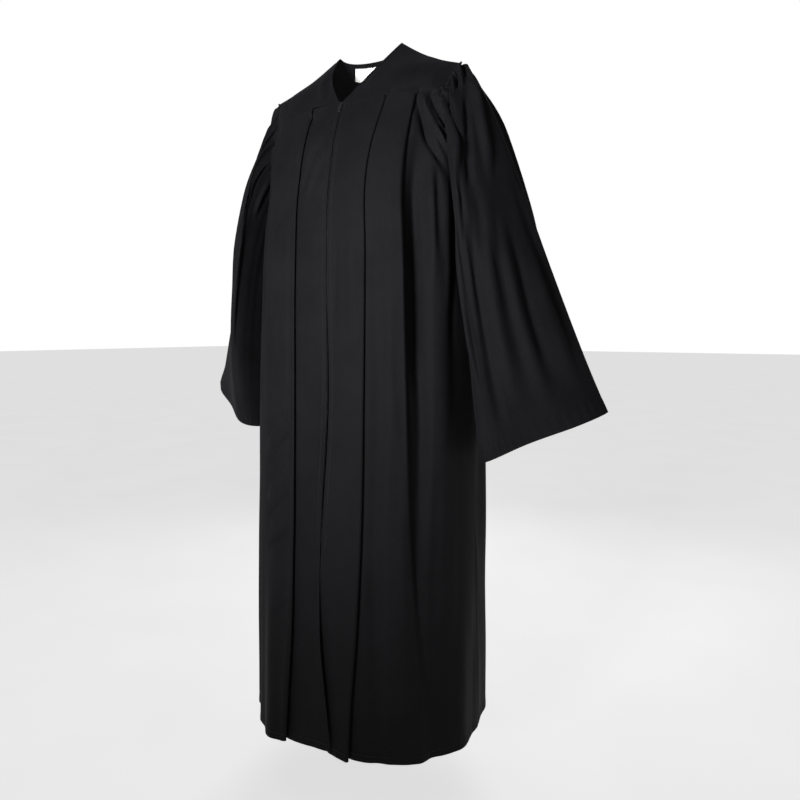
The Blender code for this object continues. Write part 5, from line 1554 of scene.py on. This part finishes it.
def floor_paint():
    material, shader, surface = new_material("floor_paint", Roughness=0.9, Specular_IOR_Level=0.1,
                                             Emission_Strength=0.74)
    place = shader.add("ShaderNodeTexCoord", output="Object")
    grain = shader.add("ShaderNodeTexNoise", {}, {"Vector": place, "Scale": 3.0, "Detail": 2.0})
    colour = shader.add("ShaderNodeValToRGB",
                        {"stops": [(0.3, (0.90, 0.90, 0.90)), (0.7, (0.92, 0.92, 0.92))]}, {"Fac": grain})
    feed(shader, surface, Base_Color=colour, Emission_Color=colour)
    return material


bpy.ops.object.select_all(action="DESELECT")
bpy.ops.mesh.primitive_plane_add(size=60.0, location=(0.0, 0.0, FLOOR_Z))
floor = bpy.context.object
floor.name = "floor"
floor.data.materials.append(floor_paint())

surround = bpy.data.worlds.new("surround")
bpy.context.scene.world = surround
surround.use_nodes = True
sky = surround.node_tree.nodes["Background"]
sky.inputs["Color"].default_value = (1.0, 1.0, 1.0, 1.0)
seen = surround.node_tree.nodes.new("ShaderNodeLightPath")
strength = surround.node_tree.nodes.new("ShaderNodeMapRange")
strength.inputs["To Min"].default_value = 0.07
strength.inputs["To Max"].default_value = 1.0
surround.node_tree.links.new(seen.outputs["Is Camera Ray"], strength.inputs["Value"])
surround.node_tree.links.new(strength.outputs["Result"], sky.inputs["Strength"])


def around_robe(azimuth, elevation, distance):
    turn, rise = math.radians(azimuth), math.radians(elevation)
    return distance * Vector((math.sin(turn) * math.cos(rise), -math.cos(turn) * math.cos(rise),
                              math.sin(rise)))


def add_lamp(name, size, power, place, away):
    """An area lamp at a place, shining against the direction away."""
    lamp = bpy.data.lights.new(name, "AREA")
    lamp.size = size
    lamp.energy = power
    holder = bpy.data.objects.new(name, lamp)
    bpy.context.scene.collection.objects.link(holder)
    holder.location = place
    holder.rotation_euler = away.to_track_quat("Z", "Y").to_euler()
    return holder


for name, (azimuth, elevation, distance, size, power, spread, height) in LIGHTS.items():
    away = around_robe(azimuth, elevation, distance)
    holder = add_lamp(name, size, power, Vector((0.0, 0.0, height)) + away, away)
    holder.data.spread = math.radians(spread)
neck_lamp = add_lamp("neck", NECK_LAMP_SIZE, NECK_LAMP_POWER, NECK_LAMP_PLACE,
                     NECK_LAMP_PLACE - NECK_LAMP_AIM)
neck_lamp.visible_camera = False


# Camera: level with the elbows, a little above them, and looking slightly down from the
# wearer's left front.

CAMERA_AZIMUTH = 35.0
CAMERA_DISTANCE = 1.4611
CAMERA_Z = -0.5322
CAMERA_DIP = 5.4041
camera = bpy.data.cameras.new("camera")
camera.lens = 33.15
camera.shift_x = 0.0395
camera_holder = bpy.data.objects.new("camera", camera)
bpy.context.scene.collection.objects.link(camera_holder)
camera_holder.location = around_robe(CAMERA_AZIMUTH, 0.0, CAMERA_DISTANCE) + Vector((0.0, 0.0, CAMERA_Z))
camera_holder.rotation_euler = (math.radians(90.0 - CAMERA_DIP), 0.0, math.radians(CAMERA_AZIMUTH))
bpy.context.scene.camera = camera_holder
bpy.context.scene.view_settings.view_transform = "Standard"
